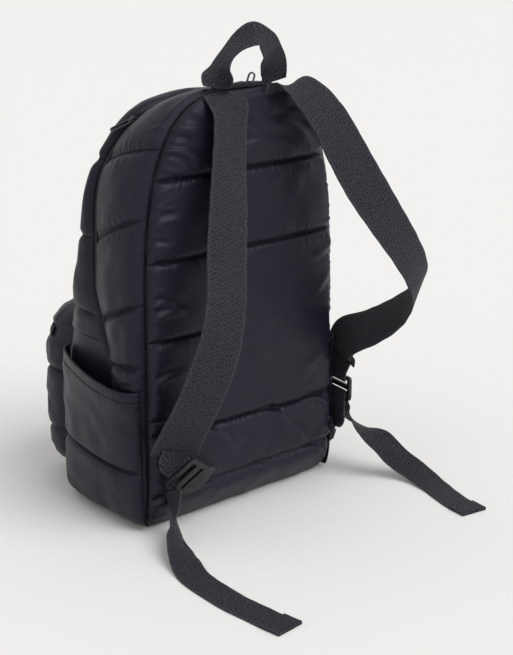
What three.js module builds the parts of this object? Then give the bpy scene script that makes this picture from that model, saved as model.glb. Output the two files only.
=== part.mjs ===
import * as THREE from 'three';
import { mergeVertices } from 'three/addons/utils/BufferGeometryUtils.js';

// A quilted puffer backpack, standing on its base. Millimetres, +Z up, +Y towards the wearer's back.
// The origin is on the floor under the bag. Inside the nested group, y = 0 is the plane of the back
// seam.

// Body
const seamHeight = 414; // floor to the top of the back seam
const seamWidth = 240; // between the two back seams, low down
const bodyDepth = 164; // back seam to the front face, low down
const backSeamY = 70; // the back seam's plane, behind the origin
const shoulderHeight = 200; // where the sides start to round over
const shoulderNarrowing = 3; // each side, from the base to that height
const cornerRadius = 16; // bottom corners, seen from the back
const backTuck = 20; // how far the back's lower edge curls under
const backTuckHeight = 40;
const frontTuck = 12;
const frontTuckHeight = 20;
const gussetSlant = 33; // how far the side quilt seams drop towards the front
const frontTopDrop = 13; // how much lower the zip runs than the back seam at the top
const frontTopHeight = 364; // top end of the front face's flat middle

// Padded cloth
const lining = 2; // cloth left where a seam pinches the wadding
const backPuff = 10;
const sidePuff = 13;
const frontPuff = 6;
const pocketPuff = 5;
const baseWall = 4;
const seamGap = 0.6; // between pieces sewn edge to edge
const touch = 0.35; // between pieces that lie on each other

// Main zip and its sliders
const zipWidth = 8;
const sliderLength = 11;
const sliderWidth = 4.2;
const sliderHeight = 5.6;
const pullerLength = 24;
const pullerWidth = 8;
const wire = 1.5;

// Front pocket
const frontPocketWidth = 200;
const frontPocketHeight = 176;
const frontPocketLift = 7; // floor to its lower edge
const frontPocketDepth = 38;
const pocketWall = 3;

// Side pockets
const sidePocketBottom = 6;
const sidePocketHeight = 143; // its top edge, at the back seam
const sidePocketRise = 14; // how much higher that edge is at the front
const sidePocketReach = 134; // back seam to its front edge
const sidePocketInset = 3; // its back edge, in front of the back seam
const sidePocketGape = 11; // how far it stands off the body at its top
const sidePocketPuff = 3;

// Webbing
const strapWidth = 50;
const webWidth = 30; // handle, anchors and adjusting tails
const strapThickness = 2;
const webThickness = 1.8;
const strapBowRight = 104; // how far the right strap stands out from the back panel
const strapBowLeft = 50;
const handleHeight = 50; // top of the handle above the back seam
const tailSpread = 51; // how far the left tail swings out from where it leaves its lock
const tailReach = 212; // from there to its end, straight back
const hemLength = 20;
const anchorSlack = 4; // how far an anchor stands off what it runs along
const anchorAcrossLeft = 0.51; // where the left anchor is sewn in, as a share of half the seam width
const anchorUpRight = 0.109; // where the right one is, as a share of seamHeight

// Ladder locks
const lockWidth = 38;
const lockThickness = 3.5;
const lockBar = 3;
const lockSlot = 6;
const lockMiddleBar = 4;
const lockLowerSlot = 4;
const lockPlate = 11;
const lockCorner = 2.4; // radius of its outer corners
const slotRoom = 0.8; // between the webbing and each end of the upper slot
const lowerSlotRoom = 0.5;

// Heights of the quilt seams, as shares of seamHeight. The ones with reach 'left' fade out under the
// left strap, because the back panel's middle is one smooth pad there.
const backSeams = [
  { height: 0.097, reach: 'across' },
  { height: 0.234, reach: 'across' },
  { height: 0.273, reach: 'left' },
  { height: 0.459, reach: 'left' },
  { height: 0.638, reach: 'across' },
  { height: 0.821, reach: 'across' },
];
const sideSeams = [0.399, 0.548, 0.739, 0.886];
const frontPocketSeams = [-0.455, 0.26]; // shares of the pocket's half height, from its middle
const pinchWidth = 0.02; // a seam's half width, as a share of seamHeight
const pinchDepth = 0.6; // how much of the puff a seam takes away

// Rows of the meshes, as shares of seamHeight. The corner and shoulder rows are shared by every
// piece that meets at the back seam, so that their curved edges follow the same chords.
const cornerRows = [0, 0.008, 0.02, 0.04];
const backRows = [
  0.082, 0.097, 0.112, 0.165, 0.216, 0.234, 0.253, 0.273, 0.293, 0.366, 0.44, 0.459, 0.478, 0.55,
  0.619, 0.638, 0.657, 0.7,
];
const sideRows = [0.14, 0.25, 0.34, 0.38, 0.399, 0.418, 0.474, 0.529, 0.548, 0.567, 0.63, 0.69];
const shoulderRows = [
  0.72, 0.739, 0.758, 0.79, 0.803, 0.821, 0.84, 0.865, 0.886, 0.906, 0.93, 0.955, 0.976, 0.99, 0.9976,
];
const topShares = [0.5, 0, -0.5]; // stations across the flat top, as shares of the last row's half width

const faceExponent = 4.4; // how square the front face's corners are

// The front seam, where the zip runs: its depth as a share of bodyDepth, by height share.
const frontSeamDepth = [
  { height: 0, depth: 0.275 },
  { height: 0.3, depth: 0.275 },
  { height: 0.375, depth: 0.295 },
  { height: 0.457, depth: 0.37 },
  { height: 0.51, depth: 0.42 },
  { height: 0.553, depth: 0.455 },
  { height: 0.667, depth: 0.455 },
  { height: 0.77, depth: 0.48 },
  { height: 0.82, depth: 0.485 },
  { height: 0.9, depth: 0.445 },
  { height: 0.955, depth: 0.36 },
  { height: 0.985, depth: 0.28 },
  { height: 1, depth: 0.25 },
];
// The middle of the front face: its depth as a share of bodyDepth, by height share.
const frontFaceDepth = [
  { height: 0, depth: 1 },
  { height: 0.25, depth: 1 },
  { height: 0.36, depth: 0.975 },
  { height: 0.44, depth: 0.885 },
  { height: 0.52, depth: 0.765 },
  { height: 0.6, depth: 0.68 },
  { height: 0.68, depth: 0.64 },
  { height: 0.756, depth: 0.615 },
  { height: 0.81, depth: 0.595 },
  { height: 0.877, depth: 0.56 },
  { height: 1, depth: 0.51 },
];

function smooth(low, high, value) {
  const t = Math.min(1, Math.max(0, (value - low) / (high - low)));
  return t * t * (3 - 2 * t);
}

function lookup(table, height) {
  const next = table.findIndex((row) => row.height >= height);
  if (next <= 0) return table[next === 0 ? 0 : table.length - 1].depth;
  const a = table[next - 1];
  const b = table[next];
  return a.depth + ((b.depth - a.depth) * (height - a.height)) / (b.height - a.height);
}

// How much of the puff is left at a height: least on a seam, all of it between seams.
function pinch(height, seams, width) {
  return seams.reduce((left, seam) => left * (1 - pinchDepth * Math.exp(-(((height - seam) / width) ** 2))), 1);
}

// Half the width of the body's outline, seen from the back: a straight side, a superellipse above
// the shoulder and a round corner at the floor.
function halfWidth(z) {
  const middle = seamWidth / 2 - shoulderNarrowing;
  if (z > shoulderHeight) {
    const rise = Math.min(1, (z - shoulderHeight) / (seamHeight - shoulderHeight));
    return middle * Math.cbrt(1 - rise ** 3);
  }
  const under = Math.max(0, 1 - z / cornerRadius);
  const side = seamWidth / 2 - (shoulderNarrowing * z) / shoulderHeight;
  return side - cornerRadius * (1 - Math.sqrt(1 - under ** 2));
}

// Height of that outline above a point of the shoulder.
function outlineHeight(x) {
  const share = Math.abs(x) / (seamWidth / 2 - shoulderNarrowing);
  return shoulderHeight + (seamHeight - shoulderHeight) * Math.cbrt(1 - share ** 3);
}

function tuck(z, depth, height) {
  const under = Math.max(0, 1 - z / height);
  return depth * (1 - Math.sqrt(1 - under ** 2));
}

function closed(geometry) {
  geometry.deleteAttribute('normal');
  geometry.deleteAttribute('uv');
  const merged = mergeVertices(geometry, 1e-3);
  const point = merged.attributes.position;
  const faces = merged.index.array;
  const kept = [];
  let volume = 0;
  for (let f = 0; f < faces.length; f += 3) {
    const [a, b, c] = [faces[f], faces[f + 1], faces[f + 2]];
    if (a === b || b === c || c === a) continue;
    kept.push(a, b, c);
    const p = new THREE.Vector3().fromBufferAttribute(point, a);
    const q = new THREE.Vector3().fromBufferAttribute(point, b);
    volume += p.dot(q.cross(new THREE.Vector3().fromBufferAttribute(point, c)));
  }
  if (volume < 0) {
    for (let f = 0; f < kept.length; f += 3) [kept[f], kept[f + 1]] = [kept[f + 1], kept[f]];
  }
  merged.setIndex(kept);
  merged.computeVertexNormals();
  return merged;
}

// A wall between two grids of points, closed round the edges that are named.
function wallBetween(outer, inner, edges) {
  const rows = outer.length;
  const columns = outer[0].length;
  const positions = [...outer.flat(), ...inner.flat()].flatMap((p) => [p.x, p.y, p.z]);
  const at = (layer, i, j) => layer * rows * columns + i * columns + j;
  const faces = [];
  const quad = (a, b, c, d) => faces.push(a, b, c, a, c, d);
  for (let i = 0; i < rows - 1; i++) {
    for (let j = 0; j < columns - 1; j++) {
      quad(at(0, i, j), at(0, i, j + 1), at(0, i + 1, j + 1), at(0, i + 1, j));
      quad(at(1, i, j), at(1, i + 1, j), at(1, i + 1, j + 1), at(1, i, j + 1));
    }
  }
  for (let i = 0; i < rows - 1; i++) {
    if (edges.left) quad(at(0, i, 0), at(0, i + 1, 0), at(1, i + 1, 0), at(1, i, 0));
    if (edges.right) {
      const last = columns - 1;
      quad(at(0, i, last), at(1, i, last), at(1, i + 1, last), at(0, i + 1, last));
    }
  }
  for (let j = 0; j < columns - 1; j++) {
    if (edges.first) quad(at(0, 0, j), at(1, 0, j), at(1, 0, j + 1), at(0, 0, j + 1));
    if (edges.last) {
      const last = rows - 1;
      quad(at(0, last, j), at(0, last, j + 1), at(1, last, j + 1), at(1, last, j));
    }
  }
  const geometry = new THREE.BufferGeometry();
  geometry.setAttribute('position', new THREE.Float32BufferAttribute(positions, 3));
  geometry.setIndex(faces);
  return closed(geometry);
}

const allEdges = { left: true, right: true, first: true, last: true };

// Back panel: a padded slab inside the back seam, quilted across, its lower edge curled under.
const panelColumns = [-1, -0.94, -0.82, -0.6, -0.3, 0, 0.25, 0.36, 0.5, 0.7, 0.86, 0.95, 1];
const panelRows = [...cornerRows, ...backRows, ...shoulderRows];

function backQuilt(across, height) {
  const left = smooth(0.25, 0.42, across);
  return backSeams.reduce((share, seam) => {
    const depth = seam.reach === 'left' ? left : 1;
    return share * (1 - pinchDepth * depth * Math.exp(-(((height - seam.height) / pinchWidth) ** 2)));
  }, 1);
}

function backPuffAt(across, height) {
  const top = panelRows[panelRows.length - 1];
  const sides = Math.sqrt(Math.max(0, 1 - Math.abs(across) ** 6));
  const upper = Math.sqrt(Math.max(0, 1 - (height / top) ** 40));
  return backPuff * sides * upper * smooth(0, 0.1, height) * backQuilt(across, height);
}

function backSurface(x, z) {
  const across = Math.max(-1, Math.min(1, x / halfWidth(Math.min(z, seamHeight))));
  return backPuffAt(across, z / seamHeight) - tuck(z, backTuck, backTuckHeight);
}

function backPoint(across, height, puffed) {
  const z = height * seamHeight;
  const under = Math.max(0, 1 - z / backTuckHeight);
  const normal = new THREE.Vector3(0, Math.sqrt(1 - under ** 2) / backTuck, -under / backTuckHeight);
  const off = puffed ? backPuffAt(across, height) : -lining;
  const inset = puffed ? 0 : lining;
  const x = (halfWidth(z) - inset) * across;
  const point = new THREE.Vector3(x, -tuck(z, backTuck, backTuckHeight), z - inset * smooth(0.48, 0.75, height));
  return point.addScaledVector(normal.normalize(), off);
}

function backPanelGeometry() {
  const grid = (puffed) => panelRows.map((h) => panelColumns.map((a) => backPoint(a, h, puffed)));
  return wallBetween(grid(true), grid(false), allEdges);
}

// Stations round the body's outline, from the floor on the left over the top to the floor on the right.
function outlineStations() {
  const heights = [...cornerRows, ...sideRows, ...shoulderRows];
  const left = heights.map((h) => ({ height: h, x: halfWidth(h * seamHeight), z: h * seamHeight }));
  const span = left[left.length - 1].x;
  const top = topShares.map((s) => ({ height: 1, x: s * span, z: outlineHeight(s * span) }));
  const right = left.map((s) => ({ ...s, x: -s.x })).reverse();
  const stations = [...left, ...top, ...right];
  stations.forEach((station, i) => {
    const before = stations[Math.max(0, i - 1)];
    const after = stations[Math.min(stations.length - 1, i + 1)];
    const onFloor = station.z === 0;
    station.out = onFloor
      ? new THREE.Vector3(0, 0, -1)
      : new THREE.Vector3(after.z - before.z, 0, before.x - after.x).normalize();
  });
  return stations;
}

const stations = outlineStations();

// Where a station meets the front seam. The side quilt seams slant down on their way to it.
function frontSeamPoint(station) {
  const rise = Math.min(1, Math.max(0, (station.height - 0.36) / 0.61));
  const slant = gussetSlant * Math.sin(Math.PI * rise) + frontTopDrop * smooth(0.8, 1, station.height);
  const z = station.z - slant;
  const across = station.height < 0.9 ? halfWidth(z) / halfWidth(station.z) : 1;
  return new THREE.Vector3(station.x * across, -bodyDepth * lookup(frontSeamDepth, z / seamHeight), z);
}

function zipHalf(height) {
  return (zipWidth / 2) * smooth(0.4, 0.46, height);
}

const gussetColumns = [0, 0.1, 0.3, 0.55, 0.8, 0.93, 1];

function gussetPuffAt(station, v) {
  const section = Math.sqrt(1 - Math.abs(2 * v - 1) ** 2.5);
  const onTop = 1 - 0.65 * station.out.z ** 2;
  const underPocket = 0.45 + 0.55 * smooth(0.3, 0.42, station.height);
  const quilt = pinch(station.height, sideSeams, pinchWidth);
  return sidePuff * section * onTop * underPocket * quilt * smooth(0, 0.15, station.height);
}

function gussetPoint(station, v, puffed) {
  const back = new THREE.Vector3(station.x, -tuck(station.z, backTuck, backTuckHeight) - seamGap, station.z);
  const front = frontSeamPoint(station);
  front.y += zipHalf(station.height) + seamGap / 2;
  const point = back.clone().lerp(front, v);
  if (!puffed && v === 0) point.y -= lining;
  return point.addScaledVector(station.out, puffed ? gussetPuffAt(station, v) : -lining);
}

// Side and top gusset: one arch between the back seam and the zip, open below.
function gussetGeometry() {
  const grid = (puffed) => stations.map((s) => gussetColumns.map((v) => gussetPoint(s, v, puffed)));
  return wallBetween(grid(true), grid(false), allEdges);
}

// A rounded cap from a rim to a spine: each section is a quarter of a superellipse.
const capAngles = [0, 8, 20, 35, 50, 64, 77, 90].map(THREE.MathUtils.degToRad);

function capPoint(rim, spine, exponent, angle, under, off) {
  const inward = 1 - Math.cos(angle) ** (2 / exponent);
  const forward = Math.min(1, Math.sin(angle) ** (2 / exponent));
  const out = new THREE.Vector3(rim.x - spine.x, 0, rim.z - spine.z).normalize();
  const normal = out.multiplyScalar(Math.max(0, 1 - inward) ** (exponent - 1));
  normal.y = -(forward ** (exponent - 1));
  normal.normalize().multiplyScalar(Math.sqrt(1 - under ** 2));
  normal.z -= under;
  return new THREE.Vector3(
    THREE.MathUtils.lerp(rim.x, spine.x, inward),
    THREE.MathUtils.lerp(rim.y, spine.y, forward),
    THREE.MathUtils.lerp(rim.z, spine.z, inward),
  ).addScaledVector(normal.normalize(), off);
}

function frontSpine(z) {
  const height = Math.min(z, frontTopHeight);
  const y = -bodyDepth * lookup(frontFaceDepth, height / seamHeight);
  return new THREE.Vector3(0, y + tuck(height, frontTuck, frontTuckHeight), height);
}

function frontExponent(station) {
  return faceExponent - 1.8 * Math.max(0, station.out.z) ** 2;
}

function frontPoint(station, angle, puffed) {
  const rim = frontSeamPoint(station);
  const spine = frontSpine(rim.z);
  rim.y -= zipHalf(station.height) + seamGap / 2;
  const under = Math.max(0, 1 - rim.z / cornerRadius);
  const quilt = pinch(station.height, sideSeams, pinchWidth) * smooth(0.53, 0.62, station.height);
  const puff = frontPuff * Math.sqrt(Math.sin(Math.min(Math.PI / 2, angle * 2))) * quilt;
  return capPoint(rim, spine, frontExponent(station), angle, under, puffed ? puff : -lining);
}

// Front panel: a padded shell from the zip round the corners and over the front face, open below.
function frontPanelGeometry() {
  const grid = (puffed) => stations.map((s) => capAngles.map((a) => frontPoint(s, a, puffed)));
  return wallBetween(grid(true), grid(false), { left: true, first: true, last: true });
}

// Base: a flat padded plate inside the lower edges of the panels.
function baseGeometry() {
  const floor = stations[0];
  const edge = [new THREE.Vector3(floor.x, -backTuck - seamGap, 0), frontSeamPoint(floor)];
  edge.push(...capAngles.map((a) => frontPoint(floor, a, true)));
  const middleY = (edge[0].y + edge[edge.length - 1].y) / 2;
  const inset = edge.map((p) => {
    const toMiddle = new THREE.Vector2(-p.x, middleY - p.y).normalize();
    return new THREE.Vector2(p.x, p.y).addScaledVector(toMiddle, 1.5 * seamGap);
  });
  const mirrored = inset.slice(0, -1).reverse().map((p) => new THREE.Vector2(-p.x, p.y));
  const shape = new THREE.Shape([...inset, ...mirrored]);
  return closed(new THREE.ExtrudeGeometry(shape, { depth: baseWall, bevelEnabled: false }));
}

// Main zip: a tape in the slot between gusset and front panel, from side to side over the top.
function zipGeometry() {
  const run = stations.filter((s) => s.height > 0.43);
  const grid = (off) =>
    run.map((s) =>
      [1, -1].map((side) => {
        const point = frontSeamPoint(s);
        point.y += side * (zipHalf(s.height) - seamGap);
        return point.addScaledVector(s.out, off);
      }),
    );
  return wallBetween(grid(-touch), grid(-lining), allEdges);
}

// The front face below the shoulder, for what is sewn on it.
function frontFaceY(x, z) {
  const rimY = -bodyDepth * lookup(frontSeamDepth, z / seamHeight);
  const share = Math.min(1, Math.abs(x) / halfWidth(z));
  return rimY + (frontSpine(z).y - rimY) * (1 - share ** faceExponent) ** (1 / faceExponent);
}

// Front pocket: stations round its superelliptic outline, as shares of its half height.
const pocketRows = [
  -0.995, -0.975, -0.93, -0.85, -0.72, -0.53, -0.455, -0.38, -0.1, 0.185, 0.26, 0.335, 0.5, 0.64, 0.7,
  0.76, 0.85, 0.93, 0.975, 0.995,
];
const pocketZipRows = [0.64, 0.7, 0.76];
const pocketExponent = 4.5;

function pocketStations() {
  const half = frontPocketWidth / 2;
  const right = (s) => half * (1 - Math.abs(s) ** pocketExponent) ** (1 / pocketExponent);
  const left = pocketRows.map((s) => ({ share: s, x: right(s) }));
  const back = left.map((s) => ({ share: s.share, x: -s.x })).reverse();
  return [...left, { share: 1, x: 0 }, ...back, { share: -1, x: 0 }, left[0]];
}

function frontPocketPoint(station, angle, off) {
  const middle = frontPocketLift + frontPocketHeight / 2;
  const z = middle + (station.share * frontPocketHeight) / 2;
  const rim = new THREE.Vector3(station.x, frontFaceY(station.x, z) - 3 * touch, z);
  const face = frontSpine(middle).y - frontPocketDepth;
  const spineShare = Math.max(-0.66, Math.min(0.8, station.share));
  const spine = new THREE.Vector3(0, face, middle + (spineShare * frontPocketHeight) / 2);
  return capPoint(rim, spine, 4, angle, 0, off);
}

function frontPocketPuff(station, angle) {
  const quilt = pinch(station.share, [...frontPocketSeams, pocketZipRows[1]], 4 * pinchWidth);
  return pocketPuff * Math.sqrt(Math.sin(Math.min(Math.PI / 2, angle * 2))) * quilt;
}

function frontPocketGeometry() {
  const around = pocketStations();
  const outer = around.map((s) => capAngles.map((a) => frontPocketPoint(s, a, frontPocketPuff(s, a))));
  const inner = around.map((s) => capAngles.map((a) => frontPocketPoint(s, a, a === 0 ? 0 : -pocketWall)));
  inner.forEach((row, i) => {
    const toSpine = outer[i][capAngles.length - 1].clone().sub(row[0]).setY(0).normalize();
    row[0].addScaledVector(toSpine, pocketWall);
    row[0].y = frontFaceY(row[0].x, row[0].z) - 3 * touch;
  });
  return wallBetween(outer, inner, { left: true });
}

// Front pocket zip: a tape across the pocket's face, just under its top edge.
function frontPocketZipGeometry() {
  const half = frontPocketWidth / 2;
  const x = (s) => half * (1 - s ** pocketExponent) ** (1 / pocketExponent);
  const angles = capAngles.slice(2);
  const grid = (off) =>
    pocketZipRows.map((s) => {
      const left = { share: s, x: x(s) };
      const point = (station, a) => frontPocketPoint(station, a, frontPocketPuff(station, a) + off);
      const mirrored = { share: s, x: -x(s) };
      const across = angles.map((a) => point(left, a));
      return [...across, ...angles.slice(0, -1).reverse().map((a) => point(mirrored, a))];
    });
  return wallBetween(grid(touch + lining / 2), grid(touch), allEdges);
}

// Side pockets: one wall each, standing off the body towards its open top.
const sidePocketSeam = 0.4; // share of the pocket's height
const sidePocketRows = [0, 0.06, 0.15, 0.27, 0.35, 0.4, 0.45, 0.6, 0.8, 0.96, 1];
const sidePocketColumns = [0, 0.05, 0.16, 0.32, 0.5, 0.68, 0.84, 0.95, 1];

// Half the body's width at a depth and height, quilting included.
function bodySide(y, z) {
  const station = { height: z / seamHeight, x: halfWidth(z), z, out: new THREE.Vector3(1, 0, 0) };
  const rim = frontSeamPoint(station);
  if (y > rim.y) return station.x + gussetPuffAt(station, Math.max(0, Math.min(1, y / rim.y)));
  const forward = Math.min(1, (y - rim.y) / (frontSpine(z).y - rim.y));
  const exponent = frontExponent(station);
  return rim.x * (1 - forward ** exponent) ** (1 / exponent) + 2 * frontPuff * smooth(0.36, 0.5, z / seamHeight);
}

function sidePocketPoint(side, share, along, layer) {
  const y = -sidePocketInset - along * (sidePocketReach - sidePocketInset);
  const top = sidePocketHeight + sidePocketRise * along;
  const z = sidePocketBottom + share * (top - sidePocketBottom);
  const stand = sidePocketGape * Math.sin(Math.PI * along) ** 0.8 * (0.55 * smooth(0, 0.25, share) + 0.45 * share);
  const quilt = 1 - pinchDepth * Math.exp(-(((share - sidePocketSeam) / 0.06) ** 2));
  const puff = sidePocketPuff * Math.sin(Math.PI * along) * smooth(0, 0.2, share) * quilt;
  const x = bodySide(y, Math.min(z, sidePocketHeight)) + 4 * touch + stand + (layer ? lining + puff : 0);
  return new THREE.Vector3(side * x, y, z);
}

function sidePocketGeometry(side) {
  const grid = (layer) =>
    sidePocketRows.map((s) => sidePocketColumns.map((a) => sidePocketPoint(side, s, a, layer)));
  return wallBetween(grid(1), grid(0), allEdges);
}

// A webbing band: its middle line and its width direction are smooth curves through table rows.
function route(rows) {
  const middle = new THREE.CatmullRomCurve3(rows.map((r) => r.at), false, 'centripetal');
  const width = new THREE.CatmullRomCurve3(rows.map((r) => r.wide.clone().normalize()), false, 'centripetal');
  const frame = (t) => {
    const along = middle.getTangent(t);
    const wide = width.getPoint(t);
    wide.addScaledVector(along, -wide.dot(along)).normalize();
    return { at: middle.getPoint(t), along, wide, face: new THREE.Vector3().crossVectors(wide, along) };
  };
  return { middle, frame };
}

function bandGeometry(path, width, thickness, steps, hem = 0) {
  const length = path.middle.getLength();
  const shares = Array.from({ length: steps + 1 }, (unused, i) => i / steps);
  if (hem > 0) shares.splice(steps, 0, 1 - hem / length, 1 - (hem - 1) / length);
  shares.sort((a, b) => a - b);
  const layer = (sign) =>
    shares.map((t) => {
      const f = path.frame(t);
      const folded = hem > 0 && t > 1 - (hem - 0.5) / length ? 1.5 : 0.5;
      const lift = sign > 0 ? folded * thickness : -0.5 * thickness;
      return [-1, 1].map((e) => {
        const point = f.at.clone().addScaledVector(f.wide, (e * width) / 2).addScaledVector(f.face, lift);
        point.z = Math.max(point.z, sign > 0 ? (folded + 0.5) * thickness : 0);
        return point;
      });
    });
  return wallBetween(layer(1), layer(-1), allEdges);
}

// Shoulder straps. Across is a share of half the seam width, up of the seam height, out of the strap's
// bow beyond the back panel; the last three give the width's direction.
const strapRowsLeft = [
  { across: 0.225, up: 0.992, out: 0.02, wx: 1, wy: 0, wz: 0.06 },
  { across: 0.23, up: 0.975, out: 0.09, wx: 1, wy: 0.03, wz: 0.08 },
  { across: 0.255, up: 0.935, out: 0.19, wx: 0.95, wy: 0.2, wz: 0.22 },
  { across: 0.315, up: 0.845, out: 0.34, wx: 0.95, wy: 0.17, wz: 0.26 },
  { across: 0.4, up: 0.749, out: 0.52, wx: 0.96, wy: 0.06, wz: 0.26 },
  { across: 0.485, up: 0.652, out: 0.74, wx: 0.97, wy: 0.02, wz: 0.26 },
  { across: 0.57, up: 0.563, out: 0.93, wx: 0.96, wy: 0.02, wz: 0.28 },
  { across: 0.635, up: 0.49, out: 1, wx: 0.96, wy: -0.03, wz: 0.28 },
  { across: 0.715, up: 0.41, out: 0.93, wx: 0.95, wy: -0.13, wz: 0.28 },
  { across: 0.79, up: 0.326, out: 0.74, wx: 0.95, wy: -0.14, wz: 0.27 },
  { across: 0.85, up: 0.244, out: 0.48, wx: 0.95, wy: -0.18, wz: 0.26 },
  { across: 0.883, up: 0.196, out: 0.31, wx: 0.93, wy: -0.24, wz: 0.27 },
];
const strapRowsRight = [
  { across: -0.38, up: 0.972, out: 0.002, wx: 1, wy: 0, wz: 0.05 },
  { across: -0.39, up: 0.993, out: 0.075, wx: 0.98, wy: 0.1, wz: 0.03 },
  { across: -0.45, up: 0.996, out: 0.17, wx: 0.94, wy: 0.22, wz: -0.12 },
  { across: -0.53, up: 0.97, out: 0.27, wx: 0.92, wy: 0.22, wz: -0.28 },
  { across: -0.6, up: 0.925, out: 0.34, wx: 0.93, wy: 0.15, wz: -0.34 },
  { across: -0.68, up: 0.87, out: 0.42, wx: 0.94, wy: 0.05, wz: -0.34 },
  { across: -0.8, up: 0.778, out: 0.58, wx: 0.94, wy: 0, wz: -0.35 },
  { across: -0.925, up: 0.688, out: 0.79, wx: 0.93, wy: 0.12, wz: -0.35 },
  { across: -1.025, up: 0.623, out: 0.95, wx: 0.91, wy: 0.24, wz: -0.35 },
  { across: -1.125, up: 0.565, out: 1, wx: 0.87, wy: 0.33, wz: -0.36 },
  { across: -1.183, up: 0.519, out: 0.97, wx: 0.82, wy: 0.4, wz: -0.42 },
  { across: -1.2, up: 0.481, out: 0.85, wx: 0.73, wy: 0.49, wz: -0.48 },
  { across: -1.175, up: 0.442, out: 0.69, wx: 0.65, wy: 0.54, wz: -0.53 },
  { across: -1.133, up: 0.406, out: 0.49, wx: 0.6, wy: 0.58, wz: -0.54 },
  { across: -1.108, up: 0.372, out: 0.25, wx: 0.5, wy: 0.78, wz: -0.35 },
  { across: -1.125, up: 0.34, out: 0.06, wx: 0.28, wy: 0.94, wz: -0.15 },
  { across: -1.145, up: 0.304, out: 0, wx: 0.18, wy: 0.98, wz: 0 },
];

function strapRoute(rows, bow) {
  const middle = rows.map((r) => {
    const x = (r.across * seamWidth) / 2;
    const z = r.up * seamHeight;
    const seat = backSurface(x, z) + touch + strapThickness * 0.7;
    return { at: new THREE.Vector3(x, seat + r.out * bow, z), wide: new THREE.Vector3(r.wx, r.wy, r.wz) };
  });
  return route(middle);
}

const strapRoutes = {
  left: strapRoute(strapRowsLeft, strapBowLeft),
  right: strapRoute(strapRowsRight, strapBowRight),
};

// Carry handle. Across is a share of half the seam width, up of the handle's height above the back
// seam, out of its width.
const handleRows = [
  { across: 0.25, out: 0.01, up: 0.06, wx: -0.98, wy: 0, wz: 0.06 },
  { across: 0.24, out: 0, up: 0.19, wx: -0.85, wy: 0.45, wz: 0.06 },
  { across: 0.205, out: 0, up: 0.42, wx: 0.1, wy: 0.95, wz: -0.05 },
  { across: 0.135, out: 0.1, up: 0.7, wx: 0.42, wy: 0.85, wz: -0.28 },
  { across: 0.045, out: 0.35, up: 0.93, wx: 0.4, wy: 0.75, wz: -0.5 },
  { across: -0.06, out: 0.5, up: 1, wx: 0.42, wy: 0.62, wz: -0.65 },
  { across: -0.175, out: 0.53, up: 0.78, wx: 0.66, wy: 0.25, wz: -0.68 },
  { across: -0.26, out: 0.3, up: 0.5, wx: 0.86, wy: -0.1, wz: -0.48 },
  { across: -0.335, out: 0.08, up: 0.26, wx: 0.95, wy: -0.1, wz: -0.12 },
  { across: -0.35, out: 0.01, up: 0.055, wx: 0.98, wy: 0, wz: 0.1 },
];

function handleRoute() {
  const rows = handleRows.map((r) => ({
    at: new THREE.Vector3((r.across * seamWidth) / 2, r.out * webWidth, seamHeight + r.up * handleHeight),
    wide: new THREE.Vector3(r.wx, r.wy, r.wz),
  }));
  return route(rows);
}

// Ladder locks hang at the straps' ends. Each hangs from there by shares of its width. Their axes are across
// the webbing, and along it away from the strap.
function lockFrame(end, hang, across, along) {
  const u = across.clone().normalize();
  const v = along.clone().addScaledVector(u, -along.dot(u)).normalize();
  const n = new THREE.Vector3().crossVectors(u, v);
  const centre = end.at.clone().addScaledVector(hang, lockWidth);
  return { centre, u, v, n, inward: end.face.dot(n) > 0 ? -1 : 1 };
}

const lockFrames = {
  left: lockFrame(
    strapRoutes.left.frame(1),
    new THREE.Vector3(-0.342, 0.25, -0.553),
    new THREE.Vector3(-0.42, 0.57, 0.73),
    new THREE.Vector3(-0.78, 0.21, -0.61),
  ),
  right: lockFrame(
    strapRoutes.right.frame(1),
    new THREE.Vector3(0, -0.026, -0.974),
    new THREE.Vector3(0.18, 0.98, 0),
    new THREE.Vector3(0, 0, -1),
  ),
};
const lockStack = lockThickness / 2 + touch + webThickness / 2; // webbing that lies on a lock
const lockLength = lockBar + lockSlot + lockMiddleBar + lockLowerSlot + lockPlate;

function onLock(lock, across, along, off) {
  return lock.centre.clone().addScaledVector(lock.u, across).addScaledVector(lock.v, along).addScaledVector(lock.n, off);
}

function slot(low, high, room) {
  const half = webWidth / 2 + room;
  return new THREE.Path([
    new THREE.Vector2(-half, low),
    new THREE.Vector2(half, low),
    new THREE.Vector2(half, high),
    new THREE.Vector2(-half, high),
  ]);
}

function lockGeometry(lock) {
  const half = lockWidth / 2;
  const top = -lockLength / 2;
  const bottom = lockLength / 2;
  const corner = lockCorner;
  const shape = new THREE.Shape();
  shape.moveTo(-half + corner, top);
  shape.lineTo(half - corner, top);
  shape.quadraticCurveTo(half, top, half, top + corner);
  shape.lineTo(half, bottom - 0.8 * lockPlate);
  shape.lineTo(half - corner, bottom - lockPlate / 3);
  shape.quadraticCurveTo(0, bottom + lockPlate / 3, -half + corner, bottom - lockPlate / 3);
  shape.lineTo(-half, bottom - 0.8 * lockPlate);
  shape.lineTo(-half, top + corner);
  shape.quadraticCurveTo(-half, top, -half + corner, top);
  const first = top + lockBar;
  const second = first + lockSlot + lockMiddleBar;
  shape.holes.push(slot(first, first + lockSlot, slotRoom));
  shape.holes.push(slot(second, second + lockLowerSlot, lowerSlotRoom));
  const settings = { depth: lockThickness, bevelEnabled: false, curveSegments: 4 };
  const geometry = new THREE.ExtrudeGeometry(shape, settings).translate(0, 0, -lockThickness / 2);
  const placed = new THREE.Matrix4().makeBasis(lock.u, lock.v, lock.n).setPosition(lock.centre);
  return closed(geometry.applyMatrix4(placed));
}

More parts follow.
